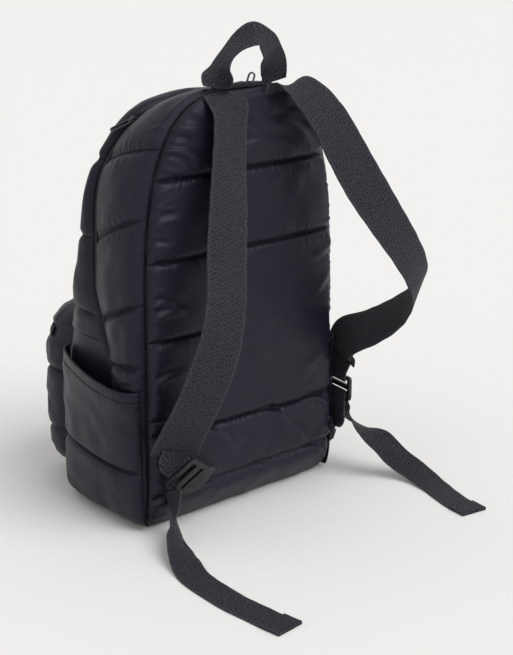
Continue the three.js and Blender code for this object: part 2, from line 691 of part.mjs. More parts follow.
// A short piece of webbing joins each strap's end to its lock's top bar.
function loopRoute(side) {
  const strap = strapRoutes[side].frame(1);
  const lock = lockFrames[side];
  const bar = -lockLength / 2 + lockBar / 2;
  const stack = strapThickness / 2 + 4 * touch + webThickness / 2;
  const under = (back) => strap.at.clone().addScaledVector(strap.along, -back).addScaledVector(strap.face, stack);
  const turned = strap.wide.dot(lock.u) < 0 ? -1 : 1;
  const wide = lock.u.clone().multiplyScalar(turned);
  return route([
    { at: under(0.4 * hemLength), wide: strap.wide },
    { at: under(-strapThickness), wide: strap.wide },
    { at: onLock(lock, 0, bar - lockBar, lock.inward * (lockStack + 2 * touch)), wide },
    { at: onLock(lock, 0, bar + lockBar, lock.inward * lockStack), wide },
  ]);
}

// Anchors: webbing from the lower back seam up behind each lock's plate.
function anchorRoute(side) {
  const lock = lockFrames[side];
  const end = (along, clear) => onLock(lock, 0, along, lock.inward * (lockStack + clear));
  if (side === 'left') {
    const x = (anchorAcrossLeft * seamWidth) / 2;
    const z = backSeams[0].height * seamHeight + 0.75 * anchorSlack;
    const sewn = new THREE.Vector3(x, backSurface(x, z) + 4.5 * webThickness, z);
    const raised = end(lockPlate, anchorSlack);
    return route([
      { at: sewn, wide: new THREE.Vector3(-0.95, 0, 0.3) },
      { at: sewn.clone().lerp(raised, 0.5), wide: new THREE.Vector3(-0.75, 0.3, 0.6) },
      { at: raised, wide: lock.u },
      { at: end(lockMiddleBar, touch), wide: lock.u },
      { at: end(0, 0), wide: lock.u },
    ]);
  }
  const sewn = new THREE.Vector3(-seamWidth / 2 - webThickness, 0.3 * anchorSlack, anchorUpRight * seamHeight);
  const turn = new THREE.Vector3(-1.25, 0.7, 0.25).multiplyScalar(anchorSlack);
  return route([
    { at: sewn, wide: new THREE.Vector3(0, 0.1, 1) },
    { at: turn.add(sewn), wide: new THREE.Vector3(0, 0.5, 0.85) },
    { at: end(lockPlate + lockThickness / 2, 3 * touch), wide: lock.u },
    { at: end(lockSlot, 0), wide: lock.u },
    { at: end(0, 0), wide: lock.u },
  ]);
}

// Adjusting tails. They leave their locks at shares of the lock's width from its middle. From there, across
// is a share of tailSpread and out of tailReach; up is a share of the lock's height above the floor.
const tailStarts = {
  left: new THREE.Vector3(0.291, -0.359, 0),
  right: new THREE.Vector3(-0.055, 0.017, 0),
};
const tailRowsLeft = [
  { across: 0, out: 0, up: 0.74, wx: 0, wy: 0.8, wz: 0.6 },
  { across: 0.043, out: 0.026, up: 0.5, wx: 0.3, wy: 0.85, wz: 0.3 },
  { across: 0.125, out: 0.054, up: 0.28, wx: 0.7, wy: 0.7, wz: 0.1 },
  { across: 0.286, out: 0.114, up: 0.15, wx: 0.75, wy: 0.45, wz: 0.45 },
  { across: 0.514, out: 0.201, up: 0.115, wx: 0.85, wy: 0.1, wz: 0.35 },
  { across: 0.726, out: 0.3, up: 0.05, wx: 0.95, wy: -0.25, wz: 0.08 },
  { across: 0.848, out: 0.376, up: 0, wx: 0.97, wy: -0.25, wz: 0 },
  { across: 0.924, out: 0.458, up: 0, wx: 0.98, wy: -0.15, wz: 0 },
  { across: 0.97, out: 0.573, up: 0, wx: 1, wy: -0.05, wz: 0 },
  { across: 1, out: 0.688, up: 0, wx: 1, wy: 0, wz: 0 },
  { across: 0.976, out: 0.803, up: 0, wx: 1, wy: 0.05, wz: 0 },
  { across: 0.954, out: 0.912, up: 0, wx: 1, wy: 0.08, wz: 0 },
  { across: 0.918, out: 1, up: 0, wx: 0.99, wy: 0.1, wz: 0 },
];
const tailRowsRight = [
  { across: 0, out: 0, up: 0.79, wx: 0.18, wy: 0.98, wz: 0 },
  { across: -0.046, out: 0.026, up: 0.66, wx: 0.4, wy: 0.85, wz: 0.3 },
  { across: -0.091, out: 0.092, up: 0.55, wx: 0.8, wy: 0.45, wz: 0.35 },
  { across: -0.198, out: 0.229, up: 0.42, wx: 0.93, wy: 0.1, wz: -0.35 },
  { across: -0.426, out: 0.289, up: 0.22, wx: 0.95, wy: 0, wz: -0.28 },
  { across: -0.577, out: 0.382, up: 0.09, wx: 0.95, wy: -0.12, wz: -0.18 },
  { across: -0.517, out: 0.519, up: 0.012, wx: 0.94, wy: -0.34, wz: 0 },
  { across: -0.365, out: 0.628, up: 0, wx: 0.93, wy: -0.36, wz: 0 },
  { across: -0.228, out: 0.732, up: 0, wx: 0.97, wy: -0.2, wz: 0 },
  { across: -0.152, out: 0.843, up: 0, wx: 1, wy: -0.06, wz: 0 },
];

function tailRoute(side, rows) {
  const lock = lockFrames[side];
  const flat = webThickness / 2;
  const start = lock.centre.clone().addScaledVector(tailStarts[side], lockWidth).setZ(flat);
  const along = rows.map((r) => ({
    at: new THREE.Vector3(r.across * tailSpread, r.out * tailReach, r.up * lock.centre.z).add(start),
    wide: new THREE.Vector3(r.wx, r.wy, r.wz),
  }));
  return route(along);
}

// A zip slider with a low bridge, and the wire loop that hangs through the bridge.
function sliderGeometry() {
  const long = sliderLength / 2;
  const hole = wire * Math.SQRT2 + 2 * touch;
  const shape = new THREE.Shape();
  shape.moveTo(-long, 0);
  shape.lineTo(long, 0);
  shape.lineTo(long, sliderHeight / 4);
  shape.lineTo(hole, sliderHeight);
  shape.lineTo(-hole, sliderHeight);
  shape.lineTo(-long, sliderHeight / 4);
  const low = sliderHeight / 3;
  shape.holes.push(
    new THREE.Path([
      new THREE.Vector2(-hole / 2, low),
      new THREE.Vector2(hole / 2, low),
      new THREE.Vector2(hole / 2, low + hole),
      new THREE.Vector2(-hole / 2, low + hole),
    ]),
  );
  const geometry = new THREE.ExtrudeGeometry(shape, { depth: sliderWidth, bevelEnabled: false });
  return closed(geometry.translate(0, 0, -sliderWidth / 2));
}

function pullerGeometry(lean) {
  const hole = wire * Math.SQRT2 + 2 * touch;
  const low = sliderHeight / 3 + (hole - wire) / 2;
  const half = pullerWidth / 2;
  const outline = (inset) => {
    const path = inset ? new THREE.Path() : new THREE.Shape();
    path.moveTo(-half + inset, low + inset);
    path.lineTo(half - inset, low + inset);
    path.lineTo(half - inset, low + pullerLength - half);
    path.absarc(0, low + pullerLength - half, half - inset, 0, Math.PI, false);
    return path;
  };
  const shape = outline(0);
  shape.holes.push(outline(wire));
  const geometry = new THREE.ExtrudeGeometry(shape, { depth: wire, bevelEnabled: false, curveSegments: 6 });
  const pivot = low + wire / 2;
  geometry.translate(0, -pivot, -wire / 2).rotateY(Math.PI / 2).rotateZ(lean).translate(0, pivot, 0);
  return closed(geometry);
}

// A frame on the main zip at a place round the outline: along the zip, off its face, and across it.
function zipFrame(at) {
  const points = stations.map(frontSeamPoint);
  const here = stations[at];
  const along = points[at + 1].clone().sub(points[at - 1]).normalize();
  const off = here.out.clone().addScaledVector(along, -here.out.dot(along)).normalize();
  const seat = touch + seamGap / 2;
  const point = points[at].clone().addScaledVector(off, seat);
  return new THREE.Matrix4().makeBasis(along, off, new THREE.Vector3().crossVectors(along, off)).setPosition(point);
}

function pocketZipFrame() {
  const half = frontPocketWidth / 2;
  const share = pocketZipRows[1];
  const x = -half * (1 - share ** pocketExponent) ** (1 / pocketExponent);
  const station = { share, x };
  const angle = capAngles[4];
  const off = frontPocketPuff(station, angle) + touch + lining / 2 + touch;
  const point = frontPocketPoint(station, angle, off);
  const next = frontPocketPoint(station, capAngles[5], off);
  const along = next.clone().sub(point).normalize();
  const across = new THREE.Vector3(0, 0, 1).addScaledVector(along, -along.z).normalize();
  const out = new THREE.Vector3().crossVectors(across, along);
  if (out.y > 0) out.negate();
  return new THREE.Matrix4()
    .makeBasis(along, out, new THREE.Vector3().crossVectors(along, out))
    .setPosition(point.lerp(next, 0.5).addScaledVector(out, 3 * touch));
}

const blackNylon = { color: 0x17161c, roughness: 0.55, metalness: 0 };
const quiltNylon = { color: 0x1a1920, roughness: 0.5, metalness: 0 };
const webbingBlack = { color: 0x121217, roughness: 0.8, metalness: 0 };
const zipBlack = { color: 0x0e0e12, roughness: 0.65, metalness: 0 };
const plasticBlack = { color: 0x1c1c20, roughness: 0.35, metalness: 0 };

const group = new THREE.Group();
const body = new THREE.Group();
body.position.set(0, backSeamY, 0);
group.add(body);

function add(name, geometry, look) {
  const mesh = new THREE.Mesh(geometry, new THREE.MeshStandardMaterial(look));
  mesh.name = name;
  body.add(mesh);
  return mesh;
}

add('back_panel', backPanelGeometry(), quiltNylon);
add('gusset', gussetGeometry(), quiltNylon);
add('front_panel', frontPanelGeometry(), quiltNylon);
add('base_panel', baseGeometry(), blackNylon);
add('main_zip', zipGeometry(), zipBlack);
add('front_pocket', frontPocketGeometry(), quiltNylon);
add('front_pocket_zip', frontPocketZipGeometry(), zipBlack);
add('side_pocket_left', sidePocketGeometry(1), quiltNylon);
add('side_pocket_right', sidePocketGeometry(-1), quiltNylon);
add('carry_handle', bandGeometry(handleRoute(), webWidth, webThickness, 26), webbingBlack);

for (const [side, rows] of [['left', tailRowsLeft], ['right', tailRowsRight]]) {
  add(`shoulder_strap_${side}`, bandGeometry(strapRoutes[side], strapWidth, strapThickness, 36), webbingBlack);
  add(`ladder_lock_${side}`, lockGeometry(lockFrames[side]), plasticBlack);
  add(`lock_loop_${side}`, bandGeometry(loopRoute(side), webWidth, webThickness, 8), webbingBlack);
  add(`adjuster_anchor_${side}`, bandGeometry(anchorRoute(side), webWidth, webThickness, 10), webbingBlack);
  add(`adjuster_tail_${side}`, bandGeometry(tailRoute(side, rows), webWidth, webThickness, 34, hemLength), webbingBlack);
}

const top = Math.floor(stations.length / 2);
for (const [name, frame, lean] of [
  ['left', zipFrame(top - 5), 1.25],
  ['right', zipFrame(top + 4), 0.15],
  ['pocket', pocketZipFrame(), 1.25],
]) {
  add(`zip_slider_${name}`, sliderGeometry(), plasticBlack).applyMatrix4(frame);
  add(`zip_puller_${name}`, pullerGeometry(lean), plasticBlack).applyMatrix4(frame);
}

export default group;
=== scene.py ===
# %% [markdown]
# # A quilted puffer backpack
# The bag is sewn from padded nylon panels, with flat webbing for its straps and handle. Every surface here
# is worked out as a grid of points in metres, in the frame of the solid model: the origin is on the floor
# under the bag, +Z is up and +Y is the side that lies on the wearer's back.

# %% Load the frame
import bpy
import numpy as np
from mathutils import Matrix


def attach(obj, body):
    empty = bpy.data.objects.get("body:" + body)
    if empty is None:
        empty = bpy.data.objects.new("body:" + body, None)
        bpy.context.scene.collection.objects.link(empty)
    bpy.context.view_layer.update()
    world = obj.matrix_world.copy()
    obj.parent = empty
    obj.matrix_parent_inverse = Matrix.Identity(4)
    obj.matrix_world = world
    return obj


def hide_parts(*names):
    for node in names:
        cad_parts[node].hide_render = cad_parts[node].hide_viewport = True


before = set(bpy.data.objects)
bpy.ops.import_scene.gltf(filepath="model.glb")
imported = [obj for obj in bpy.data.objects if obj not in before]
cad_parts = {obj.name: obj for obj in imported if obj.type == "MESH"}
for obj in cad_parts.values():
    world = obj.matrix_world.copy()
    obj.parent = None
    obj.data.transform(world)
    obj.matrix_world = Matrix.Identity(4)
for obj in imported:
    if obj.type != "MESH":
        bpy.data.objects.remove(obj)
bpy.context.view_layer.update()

print("nodes to dress:", len(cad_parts))

# %% [markdown]
# ## Camera, floor and light
# The camera stands where the photographer stood: high, behind the bag and to its left. A studio sweep is a
# pale floor under large soft boxes. Black cloth shows its form only by what it reflects, so each box is
# placed to put one long highlight on the padding.

# %% Camera
camera_data = bpy.data.cameras.new("camera")
camera_data.sensor_fit = "VERTICAL"
camera_data.sensor_height = 36
camera_data.lens = 82.4
camera = bpy.data.objects.new("camera", camera_data)
bpy.context.collection.objects.link(camera)
right_way = np.array([-0.741, 0.672, 0.0])
back_way = np.array([0.642, 0.708, 0.294])
up_way = np.cross(back_way, right_way)
eye = np.array([0.9268, 1.1141, 0.6107])
turned = np.eye(4)
for column, way in enumerate((right_way, up_way, back_way)):
    turned[:3, column] = way / np.linalg.norm(way)
turned[:3, 3] = eye
camera.matrix_world = Matrix(turned.tolist())
bpy.context.scene.camera = camera
bpy.context.scene.view_settings.view_transform = "Standard"
print("camera", round(float(np.linalg.norm(eye)), 2), "m from the origin")

# %% Floor and lamps
def plain_material(name, color, roughness):
    """A material whose shader has the given colour and roughness and nothing else yet."""
    material = bpy.data.materials.new(name)
    material.use_nodes = True
    shader = material.node_tree.nodes["Principled BSDF"]
    shader.inputs["Base Color"].default_value = (*color, 1)
    shader.inputs["Roughness"].default_value = roughness
    return material


floor_mesh = bpy.data.meshes.new("floor")
floor_mesh.from_pydata([(-40, -40, 0), (40, -40, 0), (40, 40, 0), (-40, 40, 0)], [], [(0, 1, 2, 3)])
floor = bpy.data.objects.new("floor", floor_mesh)
bpy.context.collection.objects.link(floor)
floor_mesh.materials.append(plain_material("floor_paper", (0.82, 0.808, 0.795), 0.7))


def soft_light(name, place, strength, angle):
    """A sun that stands for a large soft box: its wide angle gives broad highlights and soft shadows."""
    data = bpy.data.lights.new(name, "SUN")
    data.energy = strength
    data.angle = np.radians(angle)
    light = bpy.data.objects.new(name, data)
    bpy.context.collection.objects.link(light)
    away = np.array(place) / np.linalg.norm(place)
    side = np.cross((0, 0, 1), away)
    side = side / np.linalg.norm(side)
    basis = np.eye(4)
    basis[:3, 0], basis[:3, 1], basis[:3, 2] = side, np.cross(away, side), away
    light.matrix_world = Matrix(basis.tolist())
    return light


soft_light("box_back", (-0.5, 1.7, 2.2), 1.75, 45)
soft_light("box_left", (2.2, 0.1, 1.6), 0.14, 60)
world = bpy.data.worlds.new("studio")
bpy.context.scene.world = world
world.use_nodes = True
world.node_tree.nodes["Background"].inputs["Color"].default_value = (1.0, 0.992, 0.98, 1)
world.node_tree.nodes["Background"].inputs["Strength"].default_value = 0.66

# %% [markdown]
# ## Sizes
# These are the solid model's own sizes, in metres. The seams' heights are shares of the body's height, so a
# taller bag would keep its quilting.

# %% Sizes
SEAM_HEIGHT = 0.414
SEAM_WIDTH = 0.240
BODY_DEPTH = 0.164
BACK_SEAM_Y = 0.070
SHOULDER = 0.200
NARROWING = 0.003
CORNER = 0.016
BACK_TUCK, BACK_TUCK_HEIGHT = 0.020, 0.040
FRONT_TUCK, FRONT_TUCK_HEIGHT = 0.012, 0.020
GUSSET_SLANT = 0.033
TOP_DROP = 0.013
FRONT_TOP = 0.364
LINING = 0.002
BACK_PUFF, SIDE_PUFF, FRONT_PUFF, POCKET_PUFF = 0.010, 0.013, 0.006, 0.005
SEAM_GAP = 0.0006
TOUCH = 0.00035
ZIP_WIDTH = 0.008
FACE_EXPONENT = 4.4
POCKET_EXPONENT = 4.5
SIDE_SEAMS = [0.399, 0.548, 0.739, 0.886]
FRONT_SEAM = ([0, 0.3, 0.375, 0.457, 0.51, 0.553, 0.667, 0.77, 0.82, 0.9, 0.955, 0.985, 1],
              [0.275, 0.275, 0.295, 0.37, 0.42, 0.455, 0.455, 0.48, 0.485, 0.445, 0.36, 0.28, 0.25])
FRONT_FACE = ([0, 0.25, 0.36, 0.44, 0.52, 0.6, 0.68, 0.756, 0.81, 0.877, 1],
              [1, 1, 0.975, 0.885, 0.765, 0.68, 0.64, 0.615, 0.595, 0.56, 0.51])
SEAM_DEPTH = 0.34  # how much of the back's puff a seam takes away
SIDE_DEPTH = 0.24  # the same on the sides and front, whose pads run into each other
CREASE = 0.0045  # half width of a seam, as a share of the height
CLOTH_STEP = 0.0028  # the cloth's grid while it settles; it is halved afterwards
SHOULDER_HALF = SEAM_WIDTH / 2 - NARROWING  # half the width at the shoulder
IN_FRAME = np.array([0, BACK_SEAM_Y, 0])  # from the back seams' plane to the frame's origin

# %% Outline
def smooth(low, high, value):
    """0 below low, 1 above high and 3t^2 - 2t^3 between them."""
    t = np.clip((np.asarray(value, float) - low) / (high - low), 0, 1)
    return t * t * (3 - 2 * t)


def superellipse(share, power):
    """(1 - |s|^p)^(1/p): how far a rounded outline still is from its axis at a share of its reach."""
    return (1 - np.abs(share) ** power) ** (1 / power)


def half_width(z):
    """Half the body's width: straight sides, a superellipse of power 3 above the shoulder, a round foot."""
    z = np.asarray(z, float)
    rise = np.clip((z - SHOULDER) / (SEAM_HEIGHT - SHOULDER), 0, 1)
    upper = SHOULDER_HALF * np.cbrt(1 - rise ** 3)
    under = np.clip(1 - z / CORNER, 0, 1)
    lower = SEAM_WIDTH / 2 - NARROWING * z / SHOULDER - CORNER * (1 - np.sqrt(1 - under ** 2))
    return np.where(z > SHOULDER, upper, lower)


def tuck(z, depth, height):
    """A quarter of an ellipse that curls an edge under over the lowest height."""
    under = np.clip(1 - np.asarray(z, float) / height, 0, 1)
    return depth * (1 - np.sqrt(1 - under ** 2))


def pinch(distance, width, depth=SEAM_DEPTH):
    """What a seam takes from the puff: a narrow crease, exp(-(d / w)^1.4), in a hollow four times as wide."""
    d = np.abs(distance) / width
    return depth * (0.6 * np.exp(-d ** 1.4) + 0.4 * np.exp(-(d / 4) ** 2))


def ditch(value, seams, width, depth=SEAM_DEPTH):
    """How much puff is left near the seams: the product of 1 - pinch over them."""
    value = np.asarray(value, float)
    left = np.ones_like(value)
    for seam in seams:
        left = left * (1 - pinch(value - seam, width, depth))
    return left


def nearest(value, seams):
    """Distance to the nearest seam, in the same unit as the value."""
    return np.min([np.abs(np.asarray(value, float) - seam) for seam in seams], axis=0)


def folds(across, up, table):
    """Soft folds along segments: (s / w) exp(0.5 - (s / w)^2 / 2) across each one, fading at its ends."""
    total = np.zeros(np.broadcast(across, up).shape)
    for x0, z0, x1, z1, width, height in table:
        run = np.array([x1 - x0, z1 - z0]) / 1000
        length = np.hypot(*run)
        dx, dz = across - x0 / 1000, up - z0 / 1000
        t = (dx * run[0] + dz * run[1]) / length ** 2
        bow = 0.12 * length * np.sin(np.pi * np.clip(t, 0, 1))
        s = ((dz * run[0] - dx * run[1]) / length + bow) / (width / 1000)
        taper = smooth(-0.08, 0.25, t) * (1 - smooth(0.7, 1.1, t))
        total = total + height / 1000 * taper * s * np.exp(0.5 - s ** 2 / 2)
    return total


def puckers(along, away, count, seed, reach, height, width=0.0021):
    """Short ridges that start at a seam: exp(-(s / w)^2) across each one, fading over its own reach."""
    random = np.random.default_rng(seed)
    low, high = float(np.min(along)), float(np.max(along))
    total = np.zeros(np.broadcast(along, away).shape)
    places, slants = random.uniform(low, high, count), random.normal(0, 0.3, count)
    for place, slant, share in zip(places, slants, random.uniform(0.35, 1.3, count)):
        line = (along - place - slant * away) / width
        ridge = np.exp(-line ** 2) - 0.55 * np.exp(-(line / 2) ** 2)
        total = total + height * share * ridge * np.exp(-(away / (reach * share)) ** 2)
    return total * smooth(0, 0.0012, away)


def noise(shape, cells, seed):
    """A smooth random field from -1 to 1: random values on a coarse grid, joined by a cosine blend."""
    values = np.random.default_rng(seed).uniform(-1, 1, (cells[0] + 2, cells[1] + 2))
    a = np.linspace(0, cells[0], shape[0])[:, None]
    b = np.linspace(0, cells[1], shape[1])[None, :]
    i, j = a.astype(int), b.astype(int)
    s, t = smooth(0, 1, a - i), smooth(0, 1, b - j)
    top = values[i, j] * (1 - t) + values[i, j + 1] * t
    low = values[i + 1, j] * (1 - t) + values[i + 1, j + 1] * t
    return top * (1 - s) + low * s


def run_along(points):
    """The length up to each point of a line."""
    return np.concatenate([[0], np.cumsum(np.linalg.norm(np.diff(points, axis=0), axis=1))])


def points_at(places, run, line):
    """Points of a line at some lengths, where run is the length up to each of its own points."""
    return np.stack([np.interp(places, run, line[:, k]) for k in range(line.shape[1])], axis=1)


print("half width at the shoulder", float(half_width(SHOULDER)))

# %% [markdown]
# ## Meshes from grids
# Every soft piece is a wall: an outer grid and an inner one, joined round their edges. Where a grid's end row
# is folded on itself, as at the top of the front panel, its two halves share their points.

# %% Grids to meshes
def fold(index, ends):
    """Give the two halves of an end row the same points."""
    for row in ends:
        index[row] = np.minimum(index[row], index[row][::-1])
    return index


def quads(a, b, c, d):
    """Rows of four-cornered faces from four arrays of corner numbers."""
    return np.stack([a.ravel(), b.ravel(), c.ravel(), d.ravel()], axis=1)


def wall_faces(rows, columns, edges, folded):
    """Faces of an outer grid, a reversed inner grid and the named edges between them."""
    outer = fold(np.arange(rows * columns).reshape(rows, columns), folded)
    inner = outer + rows * columns
    faces = [
        quads(outer[:-1, :-1], outer[:-1, 1:], outer[1:, 1:], outer[1:, :-1]),
        quads(inner[:-1, :-1], inner[1:, :-1], inner[1:, 1:], inner[:-1, 1:]),
    ]
    if "left" in edges:
        faces.append(quads(outer[:-1, 0], outer[1:, 0], inner[1:, 0], inner[:-1, 0]))
    if "right" in edges:
        faces.append(quads(outer[:-1, -1], inner[:-1, -1], inner[1:, -1], outer[1:, -1]))
    if "first" in edges:
        faces.append(quads(outer[0, :-1], inner[0, :-1], inner[0, 1:], outer[0, 1:]))
    if "last" in edges:
        faces.append(quads(outer[-1, :-1], outer[-1, 1:], inner[-1, 1:], inner[-1, :-1]))
    return np.concatenate(faces)


def flow(points):
    """Lengths along a grid's rows and columns, in metres: the cloth's own coordinates."""
    across = np.linalg.norm(np.diff(points, axis=1), axis=2)
    along = np.linalg.norm(np.diff(points, axis=0), axis=2)
    u = np.pad(np.cumsum(across, axis=1), ((0, 0), (1, 0)))
    v = np.pad(np.cumsum(along, axis=0), ((1, 0), (0, 0)))
    return np.stack([u - u[:, u.shape[1] // 2][:, None], v], axis=2)


def mesh_piece(name, points, faces, cloth=None, shade_smooth=True, marks=None):
    """A mesh object from points and faces, facing outwards, with the cloth's own lengths as its UV map."""
    used, numbers = np.unique(faces, return_inverse=True)
    points = points.reshape(-1, 3)[used]
    faces = numbers.reshape(faces.shape)
    a, b, c = (points[faces[:, k]] for k in (0, 1, 2))
    d = points[faces[:, -1]]
    volume = np.einsum("ij,ij->i", a, np.cross(b, c)).sum() + np.einsum("ij,ij->i", a, np.cross(c, d)).sum()
    if volume < 0:
        faces = faces[:, ::-1]
    mesh = bpy.data.meshes.new(name)
    mesh.vertices.add(len(points))
    mesh.vertices.foreach_set("co", points.astype(np.float32).ravel())
    mesh.loops.add(faces.size)
    mesh.loops.foreach_set("vertex_index", faces.astype(np.int32).ravel())
    mesh.polygons.add(len(faces))
    mesh.polygons.foreach_set("loop_start", np.arange(0, faces.size, faces.shape[1], dtype=np.int32))
    mesh.update(calc_edges=True)
    if cloth is not None:
        layer = mesh.uv_layers.new(name="cloth")
        layer.data.foreach_set("uv", cloth.reshape(-1, 2)[used][faces.ravel()].astype(np.float32).ravel())
    for label, values in (marks or {}).items():
        layer = mesh.attributes.new(label, "FLOAT", "POINT")
        layer.data.foreach_set("value", values.reshape(-1)[used].astype(np.float32))
    mesh.polygons.foreach_set("use_smooth", np.full(len(faces), shade_smooth))
    piece = bpy.data.objects.new(name, mesh)
    bpy.context.collection.objects.link(piece)
    return piece


def wall_piece(name, outer, inner, edges=("left", "right", "first", "last"), folded=(), seam=None, edge=None):
    """A wall between two grids, moved from the back seam's plane to its place in the frame. seam and edge
    are distances to the quilt seams and to the sewn edges, which the cloth's material reads."""
    points = np.stack([outer, inner]) + IN_FRAME
    faces = wall_faces(*outer.shape[:2], edges, folded)
    cloth = flow(outer)
    far = np.full(outer.shape[:2], 1.0)
    marks = {label: np.stack([far * (1 if value is None else value)] * 2)
             for label, value in (("seam", seam), ("edge", edge))}
    piece = mesh_piece(name, points, faces, np.stack([cloth, cloth]), marks=marks)
    print(name, len(faces) * 2, "triangles")
    return piece


def dress(piece, material, nodes=()):
    """Give a piece its material and slot, its body, and the solids that it stands for."""
    piece.data.materials.clear()
    piece.data.materials.append(material)
    if nodes:
        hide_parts(*nodes)
    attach(piece, "root")
    return piece


# %% [markdown]
# ## Cloth that settles
# A puffer is sewn loose: the cloth between two seams is longer than the gap it covers, so it fills out and
# buckles into short puckers that start at the stitches. The panels are settled as a net of threads. Each
# round pushes the free points outwards, pulls every thread back to its own length, and smooths the sharpest
# bends. The stitched points don't move. Blender's Cloth could do this too. Worked out here, one function
# serves every panel and gives the same folds each time.

# %% Settling
def pull(a, b, free_a, free_b, rest, strength):
    """Move two rows of points so that the threads between them come nearer to their rest lengths."""
    way = b - a
    length = np.linalg.norm(way, axis=2, keepdims=True) + 1e-9
    share = strength * (length - rest) / (length * (free_a + free_b + 1e-6))
    a += free_a * share * way
    b -= free_b * share * way


def grid_normals(points):
    """Unit normals of a grid, from the cross product of its two directions."""
    normal = np.cross(np.gradient(points, axis=1), np.gradient(points, axis=0))
    return normal / (np.linalg.norm(normal, axis=2, keepdims=True) + 1e-12)


def normals_towards(points, axis):
    """Unit normals of a grid, turned to look along +x (axis 0) or +y (axis 1)."""
    normal = grid_normals(points)
    return normal * np.sign(normal[..., axis:axis + 1] + 1e-9)


def ruffled(points, out, free, height, cells, seed):
    """Cloth before it settles, with a little random swell so that it buckles unevenly."""
    return points + out * (height * free * noise(free.shape, cells, seed))[..., None]


def bend_of(points):
    """Each point's distance from the mean of its four neighbours."""
    p = np.pad(points, ((1, 1), (1, 1), (0, 0)), mode="edge")
    return (p[2:, 1:-1] + p[:-2, 1:-1] + p[1:-1, 2:] + p[1:-1, :-2]) / 4 - points


def settle(start, out, free, grow_along, grow_across, push, rounds=120, stiffness=0.16, cap=0.009, folded=()):
    """Settle a grid of cloth. grow_* lengthen its threads, out is the outward direction at each point."""
    p = start.copy()
    before = p.copy()
    free = free[..., None]
    along = np.linalg.norm(np.diff(start, axis=0), axis=2, keepdims=True) * grow_along[1:, :, None]
    across = np.linalg.norm(np.diff(start, axis=1), axis=2, keepdims=True) * grow_across[:, 1:, None]
    slant_a = np.linalg.norm(start[1:, 1:] - start[:-1, :-1], axis=2, keepdims=True) * 1.015
    slant_b = np.linalg.norm(start[1:, :-1] - start[:-1, 1:], axis=2, keepdims=True) * 1.015
    for _ in range(rounds):
        step = p - before
        before = p.copy()
        p += free * (0.85 * step + push * out)
        for first in (0, 1):
            pull(p[first:-1:2], p[first + 1::2], free[first:-1:2], free[first + 1::2], along[first::2], 0.9)
            pull(p[:, first:-1:2], p[:, first + 1::2], free[:, first:-1:2], free[:, first + 1::2],
                 across[:, first::2], 0.9)
            pull(p[first:-1:2, :-1], p[first + 1::2, 1:], free[first:-1:2, :-1], free[first + 1::2, 1:],
                 slant_a[first::2], 0.3)
            pull(p[first:-1:2, 1:], p[first + 1::2, :-1], free[first:-1:2, 1:], free[first + 1::2, :-1],
                 slant_b[first::2], 0.3)
        p -= free * stiffness * bend_of(bend_of(p))
        for row in folded:
            p[row] = (p[row] + p[row][::-1]) / 2
        moved = p - start
        far = np.linalg.norm(moved, axis=2, keepdims=True)
        p = start + moved * np.minimum(1, cap / (far + 1e-9))
    return p


def finer(grid):
    """Halve a grid's step: each new point is (-a + 9b + 9c - d) / 16 of the four around it, each way."""
    for axis in (0, 1):
        g = np.moveaxis(grid, axis, 0)
        wide = np.concatenate([2 * g[:1] - g[1:2], g, 2 * g[-1:] - g[-2:-1]])
        middle = (9 * (wide[1:-2] + wide[2:-1]) - wide[:-3] - wide[3:]) / 16
        fine = np.empty((2 * len(g) - 1, *g.shape[1:]))
        fine[::2], fine[1::2] = g, middle
        grid = np.moveaxis(fine, 0, axis)
    return grid


def stitched(count_rows, count_columns, rows=(), sides=True, ends=True):
    """1 where the cloth is free and 0 where it is sewn down."""
    free = np.ones((count_rows, count_columns))
    if sides:
        free[:, [0, -1]] = 0
    if ends:
        free[[0, -1]] = 0
    for row in rows:
        free[row] = 0
    return free


def along_grid(low, high, step):
    """Even values from low to high, about a step apart."""
    return np.linspace(low, high, int(round((high - low) / step)) + 1)


def rows_on(heights, seams, reach=0.0045):
    """Numbers of the rows that lie on a seam."""
    return [int(k) for seam in seams for k in np.nonzero(np.abs(heights - seam) < reach)[0]]


SETTLE_ROUNDS = 120

# %% [markdown]
# ## Back panel
# One padded panel fills the back seam. Its quilting isn't even: the middle is a single smooth pad, and two of
# the seams run only on the left, under the strap. Its lower edge curls under the bag.

